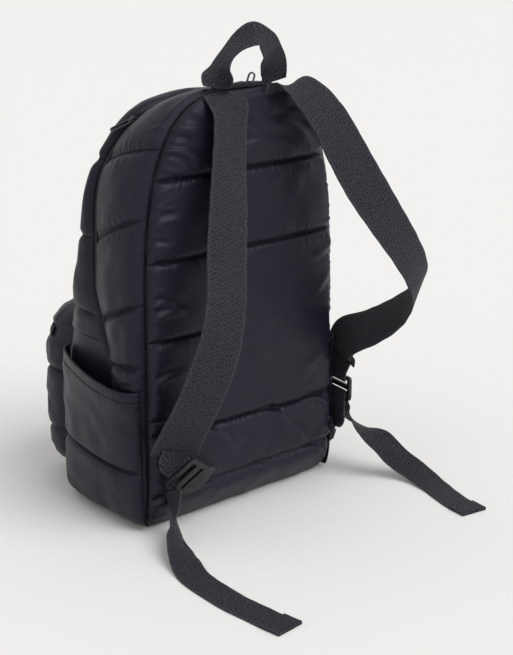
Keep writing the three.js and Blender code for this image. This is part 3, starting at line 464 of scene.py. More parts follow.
# %% Back panel
BACK_SEAMS = [(0.097, 0), (0.234, 0), (0.273, 1), (0.459, 1), (0.638, 0), (0.821, 0)]
BACK_FOLDS = [
    # from x and z to x and z, width and height, all in millimetres
    (112, 369, 52, 352, 3.2, 2.4), (112, 374, 60, 366, 3.0, 2.2), (104, 383, 50, 381, 4.0, 2.0),
    (100, 362, 66, 346, 2.6, 1.8), (40, 392, -14, 372, 5.0, 2.0), (20, 362, -60, 352, 4.5, 1.6),
    (-20, 384, -84, 356, 4.5, 1.8), (-70, 378, -104, 348, 4.0, 2.0), (-50, 392, -92, 374, 4.0, 1.6),
    (114, 300, 84, 306, 3.0, 1.6), (115, 214, 80, 219, 3.2, 1.8), (116, 228, 88, 224, 2.6, 1.5),
    (115, 150, 78, 158, 3.2, 1.6), (116, 282, 90, 280, 2.8, 1.4), (-116, 250, -84, 240, 4.0, 1.3),
    (-116, 226, -70, 196, 5.0, 1.3), (-116, 150, -60, 118, 6.0, 1.4), (30, 250, -40, 236, 6.0, 1.0),
    (64, 94, 22, 66, 3.4, 1.2), (30, 74, -16, 52, 2.8, 0.9), (-12, 94, -52, 74, 3.6, 1.1),
    (-44, 70, -76, 50, 2.6, 1.0), (-70, 94, -112, 78, 3.0, 1.3), (90, 88, 108, 60, 2.6, 1.3),
    (104, 45, 122, 36, 3.0, 2.2), (70, 34, 28, 26, 2.6, 1.1), (8, 38, -40, 24, 3.0, 0.9),
    (-72, 38, -108, 26, 2.4, 1.1), (-96, 60, -116, 44, 2.6, 1.2), (84, 66, 52, 50, 2.8, 0.9),
]
BACK_TOP = 0.9976  # the panel's top edge, as a share of the height
SAGGING_SEAM, SAG = 0.234, 0.008  # this seam drops towards the right
back_heights = along_grid(0, SEAM_HEIGHT * BACK_TOP, CLOTH_STEP) / SEAM_HEIGHT
back_shares = along_grid(-1, 1, CLOTH_STEP / SHOULDER_HALF)


def sag_of(seam, across):
    """How far a seam has dropped at a share of the width, as a share of the height."""
    return SAG * (1 - across) * (seam == SAGGING_SEAM)


def back_quilt(across, height, width):
    """What the seams leave of the puff. A seam with reach 1 fades out towards the smooth pad."""
    left = smooth(0.25, 0.42, across)
    share = np.ones(np.broadcast(across, height).shape)
    for seam, reach in BACK_SEAMS:
        deep = left if reach else 1.0
        share = share * (1 - deep * pinch(height - seam + sag_of(seam, across), width))
    return share


def back_puff(across, height, width=CREASE):
    """Height of the wadding: flat across with rounded sides, pinched by the quilting."""
    sides = np.sqrt(np.clip(1 - np.abs(across) ** 6, 0, 1))
    upper = np.sqrt(np.clip(1 - (height / BACK_TOP) ** 40, 0, 1))
    return BACK_PUFF * sides * upper * smooth(0, 0.1, height) * back_quilt(across, height, width)


def back_surface(across, height, off):
    """A point of the back at a share of its width and height, moved off it by a distance."""
    z = height * SEAM_HEIGHT
    under = np.clip(1 - z / BACK_TUCK_HEIGHT, 0, 1)
    way_y = np.sqrt(1 - under ** 2) / BACK_TUCK
    way_z = -under / BACK_TUCK_HEIGHT
    size = np.hypot(way_y, way_z)
    x = half_width(z) * across
    y = -tuck(z, BACK_TUCK, BACK_TUCK_HEIGHT) + off * way_y / size
    return np.stack(np.broadcast_arrays(x, y, z + off * way_z / size), axis=-1)


H, A = back_heights[:, None], back_shares[None, :]
count = (len(back_heights), len(back_shares))
back_start = back_surface(A, H, back_puff(A, H) + 0.0008 * noise(count, (26, 13), 3))
back_rows = [int(np.argmin(np.abs(back_heights - seam))) for seam, reach in BACK_SEAMS]
back_free = stitched(*count)
for row, (seam, reach) in zip(back_rows, BACK_SEAMS):
    sag_rows = np.round(sag_of(seam, back_shares) * SEAM_HEIGHT / CLOTH_STEP).astype(int)
    sewn = back_shares > 0.36 if reach else back_shares > -2
    back_free[(row - sag_rows)[sewn], np.nonzero(sewn)[0]] = 0
near_side = np.exp(-(1 - np.abs(A)) * SHOULDER_HALF / 0.016) * np.ones_like(H)
near_seam = 1 - ditch(H, [s for s, r in BACK_SEAMS], 0.035) * np.ones_like(A)
back_cloth = settle(
    back_start, normals_towards(back_start, 1), back_free,
    1.012 + 0.07 * near_side, 1.008 + 0.03 * near_seam, 0.0001, SETTLE_ROUNDS, cap=0.004)
back_fine = finer(back_cloth)
fine_h = np.linspace(0, back_heights[-1], back_fine.shape[0])[:, None]
fine_a = np.linspace(-1, 1, back_fine.shape[1])[None, :]
back_x = half_width(fine_h * SEAM_HEIGHT) * fine_a
back_z = fine_h * SEAM_HEIGHT + 0 * fine_a
edge_left = half_width(fine_h * SEAM_HEIGHT) * (1 - fine_a)
edge_right = half_width(fine_h * SEAM_HEIGHT) * (1 + fine_a)
back_ridges = puckers(back_z, edge_left, 90, 41, 0.017, 0.0014)
back_ridges = back_ridges + puckers(back_z, edge_right, 60, 42, 0.013, 0.0012)
back_ridges = back_ridges + folds(back_x, back_z, BACK_FOLDS)
seam_away = np.ones_like(back_z)
for number, (seam, reach) in enumerate(BACK_SEAMS):
    away = np.abs(fine_h - seam + sag_of(seam, fine_a)) * SEAM_HEIGHT
    under_strap = smooth(0.25, 0.42, fine_a) if reach else 1.0
    back_ridges = back_ridges + under_strap * puckers(back_x, away, 64, 50 + number, 0.008, 0.0007)
    seam_away = np.minimum(seam_away, away + 0.02 * (1 - smooth(0.3, 0.42, fine_a)) * reach)
inside = smooth(0, 0.004, np.minimum(edge_left, edge_right)) * smooth(0, 0.02, fine_h)
below_top = smooth(0, 0.004, SEAM_HEIGHT * BACK_TOP - back_z)
back_fine = back_fine + normals_towards(back_fine, 1) * (back_ridges * inside * below_top)[..., None]
inner_h = fine_h * (1 - 0.005 * smooth(0.5, 0.75, fine_h))
back_inner = back_surface(fine_a * (1 - LINING / SHOULDER_HALF), inner_h, -LINING)
back_panel = wall_piece("back_panel_padded", back_fine, back_inner, seam=seam_away,
                        edge=np.minimum(edge_left, edge_right))

# %% [markdown]
# ## Gusset
# One long padded band makes both sides and the top. Its stations run round the bag's outline, and each goes
# from the back seam to the zip. The quilt seams slant down on the way.

# %% Stations
def outline(step):
    """Even steps round the outline, left foot to right foot over the top, with outward normals."""
    z = SEAM_HEIGHT * (1 - np.linspace(1, 0, 4000) ** 3)
    path = np.stack([half_width(z), z], axis=1)
    path = np.concatenate([path, (path * (-1, 1))[-2::-1]])
    run = run_along(path)
    half = int(round(run[-1] / 2 / step))
    x, z = points_at(np.linspace(0, run[-1], 2 * half + 1), run, path).T
    dx, dz = np.gradient(x), np.gradient(z)
    size = np.hypot(dx, dz)
    return {"x": x, "z": z, "h": z / SEAM_HEIGHT, "out_x": dz / size, "out_z": -dx / size}


def outward(st):
    """The outward normals of stations, as vectors of the frame."""
    return np.stack([st["out_x"], np.zeros_like(st["out_x"]), st["out_z"]], axis=1)


def side_section(v):
    """The gusset's section from the back seam (v = 0) to the zip (v = 1): a superellipse of power 2.5."""
    return np.sqrt(np.clip(1 - np.abs(2 * v - 1) ** 2.5, 0, 1))


def under_pocket(height):
    """The side's wadding thins to less than half where a side pocket covers it."""
    return 0.45 + 0.55 * smooth(0.25, 0.37, height)


def front_seam(st):
    """Where each station meets the zip: lower than at the back seam, and as deep as the table says."""
    rise = np.clip((st["h"] - 0.36) / 0.61, 0, 1)
    slant = GUSSET_SLANT * np.sin(np.pi * rise) + TOP_DROP * smooth(0.8, 1, st["h"])
    z = st["z"] - slant
    narrow = half_width(z) / np.maximum(half_width(st["z"]), 1e-4)
    keep = smooth(0.8, 0.95, st["h"])
    x = st["x"] * (narrow * (1 - keep) + keep)
    y = -BODY_DEPTH * np.interp(z / SEAM_HEIGHT, *FRONT_SEAM)
    return np.stack([x, y, z], axis=1)


def zip_half(h):
    """Half the zip's slot: none below the front pocket's top."""
    return ZIP_WIDTH / 2 * smooth(0.4, 0.46, h)


stations = outline(CLOTH_STEP)
print("stations", len(stations["x"]))


# %% Gusset
def gusset_surface(st, v, puffed):
    """Between the back seam (v = 0) and the zip (v = 1), swollen by the wadding or set in by the lining."""
    back = np.stack([st["x"], -tuck(st["z"], BACK_TUCK, BACK_TUCK_HEIGHT) - SEAM_GAP, st["z"]], axis=1)
    front = front_seam(st)
    front[:, 1] += zip_half(st["h"]) + SEAM_GAP / 2
    base = back[:, None] * (1 - v)[None, :, None] + front[:, None] * v[None, :, None]
    section = (side_section(v) * (1 - 0.35 * smooth(0.45, 1, v)))[None, :]
    on_top = (1 - 0.65 * st["out_z"] ** 2) * smooth(0, 0.15, st["h"])
    quilt = ditch(st["h"], SIDE_SEAMS, CREASE, SIDE_DEPTH)
    puff = SIDE_PUFF * section * (on_top * under_pocket(st["h"]) * quilt)[:, None]
    off = puff if puffed else np.full_like(puff, -LINING)
    return base + off[..., None] * outward(st)[:, None]


gusset_v = along_grid(0, 1, CLOTH_STEP / 0.075)
gusset_start = gusset_surface(stations, gusset_v, True)
count = gusset_start.shape[:2]
gusset_free = stitched(*count, rows=rows_on(stations["h"], SIDE_SEAMS))
gusset_out = outward(stations)[:, None] * np.ones((*count, 1))
gusset_start = ruffled(gusset_start, gusset_out, gusset_free, 0.0009, (60, 5), 5)
near_back = np.exp(-gusset_v / 0.2)[None, :] * np.ones((count[0], 1))
near_rows = (1 - ditch(stations["h"], SIDE_SEAMS, 0.03))[:, None] * np.ones((1, count[1]))
gusset_cloth = settle(
    gusset_start, gusset_out, gusset_free,
    1.010 + 0.05 * near_back, 1.008 + 0.02 * near_rows, 0.00006, SETTLE_ROUNDS, cap=0.0028)
gusset_fine = finer(gusset_cloth)
fine_stations = {key: finer(value[:, None, None])[:, 0, 0] for key, value in stations.items()}
fine_v = np.linspace(0, 1, gusset_fine.shape[1])
gusset_inner = gusset_surface(fine_stations, fine_v, False)
gusset_depth = np.linalg.norm(gusset_fine[:, -1] - gusset_fine[:, 0], axis=1)[:, None]
gusset_run = np.linspace(0, 1.0, gusset_fine.shape[0])[:, None]
gusset_ridges = puckers(gusset_run, gusset_depth * fine_v, 120, 61, 0.013, 0.0015)
gusset_ridges = gusset_ridges + puckers(gusset_run, gusset_depth * (1 - fine_v), 110, 62, 0.010, 0.0010)
for number, seam in enumerate(SIDE_SEAMS):
    away = np.abs(fine_stations["h"] - seam)[:, None] * SEAM_HEIGHT + 0 * fine_v
    gusset_ridges = gusset_ridges + puckers(gusset_depth * fine_v, away, 16, 65 + number, 0.010, 0.0008)
gusset_edge = gusset_depth * np.minimum(fine_v, 1 - fine_v)
inside = smooth(0, 0.004, gusset_edge) * smooth(0, 0.05, fine_stations["h"])[:, None]
gusset_fine = gusset_fine + outward(fine_stations)[:, None] * (gusset_ridges * inside)[..., None]
gusset_inner[:, 0, 1] -= LINING
gusset = wall_piece("gusset_padded", gusset_fine, gusset_inner,
                    seam=nearest(fine_stations["h"], SIDE_SEAMS)[:, None] * SEAM_HEIGHT, edge=gusset_edge)

# %% [markdown]
# ## Front panel
# The front face, its corners and the top in front of the zip are one padded shell. Each station's section is
# a quarter of a superellipse from the zip to the middle of the face. Left and right halves are one grid, so
# the face has no seam down its middle; at the very top the grid's last row is folded on itself.

# %% Front panel
def cap_surface(rim, spine, out, exponent, angle, under, off):
    """(1 - cos^(2/e)) of the way in and sin^(2/e) of the way forward, then moved along the normal."""
    power = 2 / exponent[:, None]
    inward = 1 - np.cos(angle)[None, :] ** power
    forward = np.minimum(1, np.sin(angle)[None, :] ** power)
    way = np.stack([inward, forward, inward], axis=-1)
    points = rim[:, None] * (1 - way) + spine[:, None] * way
    side = np.clip(1 - inward, 0, 1) ** (exponent[:, None] - 1)
    normal = np.stack([out[:, :1] * side, -(forward ** (exponent[:, None] - 1)), out[:, 1:] * side], axis=-1)
    normal /= np.linalg.norm(normal, axis=2, keepdims=True) + 1e-12
    normal *= np.sqrt(1 - under ** 2)[:, None, None]
    normal[..., 2] -= under[:, None]
    normal /= np.linalg.norm(normal, axis=2, keepdims=True) + 1e-12
    return points + off[..., None] * normal, normal


def front_spine(z):
    """The middle of the front face: deepest low down, leaning back above, curled under at the foot."""
    height = np.minimum(z, FRONT_TOP)
    forward = BODY_DEPTH * np.interp(height / SEAM_HEIGHT, *FRONT_FACE)
    y = tuck(height, FRONT_TUCK, FRONT_TUCK_HEIGHT) - forward
    return np.stack([np.zeros_like(height), y, height], axis=1)


def whole_face(half):
    """Both halves of the face as one grid, from the left rim over the spine to the right rim."""
    return np.concatenate([half, (half * (-1, 1, 1))[:, -2::-1]], axis=1)


def front_half(st, angle, off_of):
    """The left half of the front panel, for the stations from the foot to the top."""
    rim = front_seam(st)
    spine = front_spine(rim[:, 2])
    rim[:, 1] -= zip_half(st["h"]) + SEAM_GAP / 2
    out = np.stack([rim[:, 0] - spine[:, 0], rim[:, 2] - spine[:, 2]], axis=1)
    out /= np.linalg.norm(out, axis=1, keepdims=True) + 1e-12
    exponent = FACE_EXPONENT - 1.8 * np.maximum(0, st["out_z"]) ** 2
    under = np.clip(1 - rim[:, 2] / CORNER, 0, 1)
    return cap_surface(rim, spine, out, exponent, angle, under, off_of)


def front_puff(st, angle, width):
    """Wadding of the front panel: none under the pocket, pinched along the stations of the quilt seams."""
    quilt = ditch(st["h"], SIDE_SEAMS, width, SIDE_DEPTH) * smooth(0.53, 0.62, st["h"])
    rounded = np.sqrt(np.sin(np.minimum(np.pi / 2, angle * 2)))
    return FRONT_PUFF * quilt[:, None] * rounded[None, :]


half_count = len(stations["x"]) // 2 + 1
half_stations = {key: value[:half_count] for key, value in stations.items()}
front_angles = np.pi / 2 * np.linspace(0, 1, 34) ** 1.1
front_off = front_puff(half_stations, front_angles, CREASE)
front_start, front_normal = front_half(half_stations, front_angles, front_off)
front_start, front_out = whole_face(front_start), whole_face(front_normal)
count = front_start.shape[:2]
front_free = stitched(*count, rows=rows_on(half_stations["h"], SIDE_SEAMS), ends=False)
front_free[half_stations["h"] < 0.47] = 0
front_free[-1] = front_free[-2]
front_start = ruffled(front_start, front_out, front_free, 0.0008, (30, 13), 8)
near_rows = (1 - ditch(half_stations["h"], SIDE_SEAMS, 0.03))[:, None] * np.ones((1, count[1]))
front_cloth = settle(
    front_start, front_out, front_free,
    np.full(count, 1.010), 1.006 + 0.02 * near_rows, 0.00006, SETTLE_ROUNDS, cap=0.0028, folded=(-1,))
front_fine = finer(front_cloth)
fine_half = {key: value[:front_fine.shape[0]] for key, value in fine_stations.items()}
fine_angles = np.interp(np.linspace(0, 33, 67), np.arange(34), front_angles)
front_inner, unused = front_half(fine_half, fine_angles, np.full((front_fine.shape[0], 67), -LINING))
front_panel = wall_piece(
    "front_panel_padded", front_fine, whole_face(front_inner), edges=("left", "right", "first"), folded=(-1,),
    seam=(nearest(fine_half["h"], SIDE_SEAMS) * SEAM_HEIGHT + (fine_half["h"] < 0.53))[:, None])

# %% [markdown]
# ## Base
# The bottom is a flat padded plate inside the panels' lower edges. It is hidden in use, so it is plain.

# %% Base
def base_ring():
    """The plate's edge: along the back, the left side and the front, mirrored, a little inside the panels."""
    foot = {key: value[:1] for key, value in stations.items()}
    side = front_half(foot, np.linspace(0, np.pi / 2, 16), np.zeros((1, 16)))[0][0]
    back = np.array([[side[0, 0], -BACK_TUCK - SEAM_GAP, 0.0]])
    half = np.concatenate([back, side])[:, :2]
    ring = np.concatenate([half, (half * (-1, 1))[-2::-1]])
    middle = np.array([0, (half[0, 1] + half[-1, 1]) / 2])
    way = ring - middle
    return middle + way * (1 - 1.5 * SEAM_GAP / np.linalg.norm(way, axis=1, keepdims=True)), middle


def base_grid(height, bulge):
    """Rings from the edge to the middle at one height, with shallow squares pressed into it."""
    ring, middle = base_ring()
    share = np.linspace(1, 0.02, 24)[:, None, None]
    flat = middle + (ring - middle)[None] * share
    quilt = np.abs(np.sin(flat[..., 0] * 90) * np.sin(flat[..., 1] * 90)) ** 0.4
    return np.concatenate([flat, (height + bulge * quilt)[..., None]], axis=2)


base = wall_piece("base_plate", base_grid(0.0, 0.0008), base_grid(0.004, 0.0))

# %% [markdown]
# ## Front pocket
# A padded patch pocket stands out from the front. It is the same kind of cap as the front panel, over its own
# rounded outline, and its rim follows the face that it is sewn on. Two quilt seams and a zip cross it.

# %% Front pocket
POCKET_WIDTH, POCKET_HEIGHT, POCKET_LIFT, POCKET_DEPTH, POCKET_WALL = 0.200, 0.176, 0.007, 0.038, 0.003
ZIP_SHARE = 0.70  # how far up the half height the zip lies
POCKET_SEAMS = [-0.455, 0.26, ZIP_SHARE]
pocket_middle = POCKET_LIFT + POCKET_HEIGHT / 2


def face_y(x, z):
    """Depth of the front face at a point in front of it."""
    rim = -BODY_DEPTH * np.interp(z / SEAM_HEIGHT, *FRONT_SEAM)
    share = np.clip(np.abs(x) / half_width(z), 0, 1)
    spine = front_spine(np.atleast_1d(z))[:, 1].reshape(np.shape(z))
    return rim + (spine - rim) * superellipse(share, FACE_EXPONENT)


def pocket_shares(step):
    """Even steps round the left half of the pocket's outline, as shares of its half height."""
    share = np.sin(np.linspace(-np.pi / 2, np.pi / 2, 4000))
    x = POCKET_WIDTH / 2 * superellipse(share, POCKET_EXPONENT)
    run = run_along(np.stack([x, share * POCKET_HEIGHT / 2], axis=1))
    return np.interp(along_grid(0, run[-1], step), run, share)


def pocket_half(share, angle, off):
    """The left half of the pocket: a cap of power 4 from its rim on the face to its own flat front."""
    x = POCKET_WIDTH / 2 * superellipse(share, POCKET_EXPONENT)
    z = pocket_middle + share * POCKET_HEIGHT / 2
    rim = np.stack([x, face_y(x, z) - 3 * TOUCH, z], axis=1)
    front = front_spine(np.array([pocket_middle]))[0, 1] - POCKET_DEPTH
    spine_z = pocket_middle + np.clip(share, -0.66, 0.8) * POCKET_HEIGHT / 2
    spine = np.stack([np.zeros_like(z), np.full_like(z, front), spine_z], axis=1)
    out = np.stack([rim[:, 0] - spine[:, 0], rim[:, 2] - spine[:, 2]], axis=1)
    out /= np.linalg.norm(out, axis=1, keepdims=True) + 1e-12
    zero = np.zeros_like(z)
    return cap_surface(rim, spine, out, np.full_like(z, 4.0), angle, zero, off)


def pocket_puff(share, angle, width=0.03):
    """Wadding of the pocket, pinched by its seams and its zip."""
    rounded = np.sqrt(np.sin(np.minimum(np.pi / 2, angle * 2)))
    return POCKET_PUFF * ditch(share, POCKET_SEAMS, width, SIDE_DEPTH)[:, None] * rounded[None, :]


shares = pocket_shares(CLOTH_STEP)
pocket_angles = np.linspace(0, np.pi / 2, 30)
pocket_start, pocket_normal = pocket_half(shares, pocket_angles, pocket_puff(shares, pocket_angles))
pocket_start, pocket_out = whole_face(pocket_start), whole_face(pocket_normal)
count = pocket_start.shape[:2]
pocket_rows = [int(np.argmin(np.abs(shares - seam))) for seam in POCKET_SEAMS]
pocket_free = stitched(*count, rows=pocket_rows)
pocket_free[np.abs(shares - ZIP_SHARE) < 0.07] = 0
pocket_start = ruffled(pocket_start, pocket_out, pocket_free, 0.0007, (50, 24), 12)
slack = np.full(count, 1.012)
pocket_cloth = settle(
    pocket_start, pocket_out, pocket_free, slack, slack, 0.00012, SETTLE_ROUNDS, cap=0.004, folded=(0, -1))
pocket_fine = finer(pocket_cloth)
fine_shares = finer(shares[:, None, None])[:, 0, 0].clip(-1, 1)
fine_angles = np.linspace(0, np.pi / 2, 59)
pocket_in = np.full((len(fine_shares), 59), -POCKET_WALL)
pocket_inner, unused = pocket_half(fine_shares * 0.985, fine_angles, pocket_in)
pocket_inner[:, 0, 0] *= 1 - 2 * POCKET_WALL / POCKET_WIDTH
pocket_inner[:, 0, 1] = pocket_fine[:, 0, 1]
front_pocket = wall_piece(
    "front_pocket_padded", pocket_fine, whole_face(pocket_inner), edges=("left", "right"), folded=(0, -1),
    seam=nearest(fine_shares, POCKET_SEAMS[:2])[:, None] * POCKET_HEIGHT / 2)

# %% [markdown]
# ## Side pockets
# Each side has an open pocket of the same cloth: one wall sewn down at its bottom and two sides, longer than
# the body behind it, so that its top edge gapes. A single quilt seam crosses it, and its edge is hemmed.

# %% Side pockets
SIDE_BOTTOM, SIDE_TOP, SIDE_RISE, SIDE_REACH, SIDE_INSET, SIDE_GAPE = 0.006, 0.143, 0.014, 0.134, 0.001, 0.006
SIDE_QUILT, SIDE_HEM = 0.4, 0.93  # heights of the quilt seam and of the hem's stitches, as shares


def body_side(y, z):
    """Half the body's width at a depth and height: the gusset's swell, then the front corner's curve."""
    rim_x, rim_y = half_width(z), -BODY_DEPTH * np.interp(z / SEAM_HEIGHT, *FRONT_SEAM)
    v = np.clip(y / rim_y, 0, 1)
    height = z / SEAM_HEIGHT
    swell = SIDE_PUFF * side_section(v) * under_pocket(height) * smooth(0, 0.15, height)
    swell = swell * ditch(height, SIDE_SEAMS, 0.02, SIDE_DEPTH)
    spine = front_spine(np.atleast_1d(z).ravel())[:, 1].reshape(np.shape(z))
    forward = np.clip((y - rim_y) / (spine - rim_y), 0, 1)
    corner = rim_x * superellipse(forward, FACE_EXPONENT)
    return np.where(y > rim_y, rim_x + swell, corner)


def taut(x, rounds=600):
    """Cloth pulled across hollows: each point stays at least as far out as the mean of its two neighbours."""
    x = x.copy()
    for turn in range(rounds):
        x[:, 1:-1] = np.maximum(x[:, 1:-1], (x[:, :-2] + x[:, 2:]) / 2)
    return x


def side_wall(share, along, off):
    """The pocket's wall on the left side, at a share of its height and of its depth."""
    y = -SIDE_INSET - along * (SIDE_REACH - SIDE_INSET)
    z = SIDE_BOTTOM + share * (SIDE_TOP + SIDE_RISE * along - SIDE_BOTTOM)
    y, z = np.broadcast_arrays(y, z)
    stand = SIDE_GAPE * np.sin(np.pi * along) ** 0.8 * (0.55 * smooth(0, 0.25, share) + 0.45 * share)
    x = taut(body_side(y, np.minimum(z, SIDE_TOP))) + 4 * TOUCH + stand + off
    return np.stack([x, y, z], axis=-1)


side_s = along_grid(0, 1, CLOTH_STEP / 0.145)[:, None]
side_a = along_grid(0, 1, CLOTH_STEP / 0.135)[None, :]
side_quilt = 1 - 1.1 * pinch(side_s - SIDE_QUILT, 0.018)
side_puff = 0.003 * np.sin(np.pi * side_a) * smooth(0, 0.2, side_s) * side_quilt
side_start = side_wall(side_s, side_a, 0.002 + side_puff)
count = side_start.shape[:2]
side_free = stitched(*count, rows=[int(round(SIDE_QUILT * (count[0] - 1)))], ends=False)
side_free[0] = 0
side_free[-4:] *= 0.35
side_out = normals_towards(side_start, 0)
slack = (1.01 + 0.04 * np.exp(-((1 - side_s) + side_a) / 0.35)) * np.ones(count)
for side, name in ((1, "left"), (-1, "right")):
    start = ruffled(side_start, side_out, side_free, 0.0012, (9, 8), 20 + side)
    cloth = settle(start, side_out, side_free, slack, slack, 0.00012, SETTLE_ROUNDS, cap=0.005)
    fine = finer(cloth)
    fine_s = np.linspace(0, 1, fine.shape[0])[:, None]
    fine_a = np.linspace(0, 1, fine.shape[1])[None, :]
    inner = side_wall(fine_s, fine_a, 0 * fine_s * fine_a)
    inner = np.where(fine_s[..., None] > 0.08, fine - 0.002 * finer(side_out), inner)
    flip = np.array([side, 1, 1])
    wall_piece(f"side_pocket_{name}_sewn", fine * flip, inner * flip,
               seam=nearest(fine_s, [SIDE_QUILT, SIDE_HEM]) * 0.14,
               edge=np.minimum(fine_a, 1 - fine_a) * 0.13)

# %% [markdown]
# ## Webbing
# Straps, handle and adjusters are flat woven bands. A band has a middle line and a direction for its width,
# each a smooth curve through a few points. Its section is a flat oval, and its own lengths become the map
# that the weave follows.

# %% Curves and bands
BAND_STEP = 0.002


def smooth_curve(rows, t):
    """A centripetal spline: between two rows, a cubic whose end slopes suit their neighbours too."""
    rows = np.asarray(rows, float)
    ends = np.concatenate([[2 * rows[0] - rows[1]], rows, [2 * rows[-1] - rows[-2]]])
    place = np.clip(t, 0, 1) * (len(rows) - 1)
    span = np.minimum(place.astype(int), len(rows) - 2)
    w = (place - span)[:, None]
    a, b, c, d = (ends[span + k] for k in range(4))
    gap = [np.maximum(np.sqrt(np.linalg.norm(q - p, axis=1)), 1e-4)[:, None]
           for p, q in ((a, b), (b, c), (c, d))]
    slope_b = ((b - a) / gap[0] - (c - a) / (gap[0] + gap[1]) + (c - b) / gap[1]) * gap[1]
    slope_c = ((c - b) / gap[1] - (d - b) / (gap[1] + gap[2]) + (d - c) / gap[2]) * gap[1]
    third = 3 * (c - b) - 2 * slope_b - slope_c
    fourth = 2 * (b - c) + slope_b + slope_c
    return b + w * (slope_b + w * (third + w * fourth))


def band_frame(middle, wide, t):
    """Along a band: its middle, the way it runs, its width's direction and the way its face looks."""
    at = smooth_curve(middle, t)
    run = smooth_curve(middle, np.clip(t + 1e-3, 0, 1)) - smooth_curve(middle, np.clip(t - 1e-3, 0, 1))
    run /= np.linalg.norm(run, axis=1, keepdims=True)
    side = smooth_curve(np.asarray(wide) / np.linalg.norm(wide, axis=1, keepdims=True), t)
    side -= run * np.einsum("ij,ij->i", run, side)[:, None]
    side /= np.linalg.norm(side, axis=1, keepdims=True)
    return {"at": at, "run": run, "wide": side, "face": np.cross(side, run)}


def even_places(middle, step, low=0.0, high=1.0):
    """Places along a band that are an even step apart, and the length up to each."""
    t = np.linspace(low, high, 800)
    run = run_along(smooth_curve(middle, t))
    count = max(3, int(round(run[-1] / step)) + 1)
    lengths = np.linspace(0, run[-1], count)
    return np.interp(lengths, run, t), lengths


def band_section(width, thickness):
    """A flat oval: two straight faces joined by half circles."""
    flat = np.linspace(-1, 1, 15) * (width - thickness) / 2
    turn = np.linspace(np.pi / 2, -np.pi / 2, 6)[1:-1]
    round_x = (width - thickness) / 2 + np.cos(turn) * thickness / 2
    edge = np.stack([round_x, np.sin(turn) * thickness / 2], axis=1)
    top = np.stack([flat, np.full(15, thickness / 2)], axis=1)
    return np.concatenate([top, edge, top[::-1] * (1, -1), edge[::-1] * (-1, 1)])


def band_piece(name, middle, wide, width, thickness, low=0.0, high=1.0, lift=0.0, lowest=None):
    """A band between two places of a route, as a closed tube with its ends filled."""
    t, lengths = even_places(middle, BAND_STEP, low, high)
    frames = band_frame(middle, wide, t)
    section = band_section(width, thickness)
    ripple = 0.0002 * np.sin(lengths * 310)[:, None, None]
    points = (frames["at"][:, None] + frames["wide"][:, None] * section[None, :, :1]
              + frames["face"][:, None] * (section[None, :, 1:] + lift + ripple * (thickness > 0.0015)))
    if lowest is not None:
        points[..., 2] = np.maximum(points[..., 2], lowest + (section[None, :, 1] + thickness / 2))
    points = points + IN_FRAME
    rows, columns = points.shape[:2]
    index = np.arange(rows * columns).reshape(rows, columns)
    nexts = np.roll(index, -1, axis=1)
    faces = [quads(index[:-1], nexts[:-1], nexts[1:], index[1:])]
    half = columns // 2
    for row, order in ((0, 1), (-1, -1)):
        loop = np.roll(index[row], 2)
        cap = quads(loop[:half - 1], loop[1:half], loop[::-1][1:half], loop[::-1][:half - 1])
        faces.append(cap[:, ::order])
    u = np.broadcast_to(section[None, :, 0], (rows, columns))
    v = np.broadcast_to(lengths[:, None], (rows, columns))
    # painted highlight: the base colour grows paler toward both edges of the band, where they would catch
    # light
    edge_highlight = np.broadcast_to(0.3 * smooth(0.42, 0.5, np.abs(section[None, :, 0]) / width), (rows, columns))
    piece = mesh_piece(name, points, np.concatenate(faces), np.stack([u, v], axis=2), marks={"edge_highlight": edge_highlight})
    return piece, frames, lengths


# %% Shoulder straps
STRAP_WIDTH, WEB_WIDTH, STRAP_THICK, WEB_THICK = 0.050, 0.030, 0.002, 0.0018
STRAP_LEFT = [
    # share of half the seam width, share of its height, share of the bow, width's direction
    (0.225, 0.992, 0.02, 1, 0, 0.06), (0.23, 0.975, 0.09, 1, 0.03, 0.08),
    (0.255, 0.935, 0.19, 0.95, 0.2, 0.22), (0.315, 0.845, 0.34, 0.95, 0.17, 0.26),
    (0.4, 0.749, 0.52, 0.96, 0.06, 0.26), (0.485, 0.652, 0.74, 0.97, 0.02, 0.26),
    (0.57, 0.563, 0.93, 0.96, 0.02, 0.28), (0.635, 0.49, 1, 0.96, -0.03, 0.28),
    (0.715, 0.41, 0.93, 0.95, -0.13, 0.28), (0.79, 0.326, 0.74, 0.95, -0.14, 0.27),
    (0.85, 0.244, 0.48, 0.95, -0.18, 0.26), (0.883, 0.196, 0.31, 0.93, -0.24, 0.27),
]
STRAP_RIGHT = [
    (-0.38, 0.972, 0.002, 1, 0, 0.05), (-0.39, 0.993, 0.075, 0.98, 0.1, 0.03),
    (-0.45, 0.996, 0.17, 0.94, 0.22, -0.12), (-0.53, 0.97, 0.27, 0.92, 0.22, -0.28),
    (-0.6, 0.925, 0.34, 0.93, 0.15, -0.34), (-0.68, 0.87, 0.42, 0.94, 0.05, -0.34),
    (-0.8, 0.778, 0.58, 0.94, 0, -0.35), (-0.925, 0.688, 0.79, 0.93, 0.12, -0.35),
    (-1.025, 0.623, 0.95, 0.91, 0.24, -0.35), (-1.125, 0.565, 1, 0.87, 0.33, -0.36),
    (-1.183, 0.519, 0.97, 0.82, 0.4, -0.42), (-1.2, 0.481, 0.85, 0.73, 0.49, -0.48),
    (-1.175, 0.442, 0.69, 0.65, 0.54, -0.53), (-1.133, 0.406, 0.49, 0.6, 0.58, -0.54),
    (-1.108, 0.372, 0.25, 0.5, 0.78, -0.35), (-1.125, 0.34, 0.06, 0.28, 0.94, -0.15),
    (-1.145, 0.304, 0, 0.18, 0.98, 0),
]


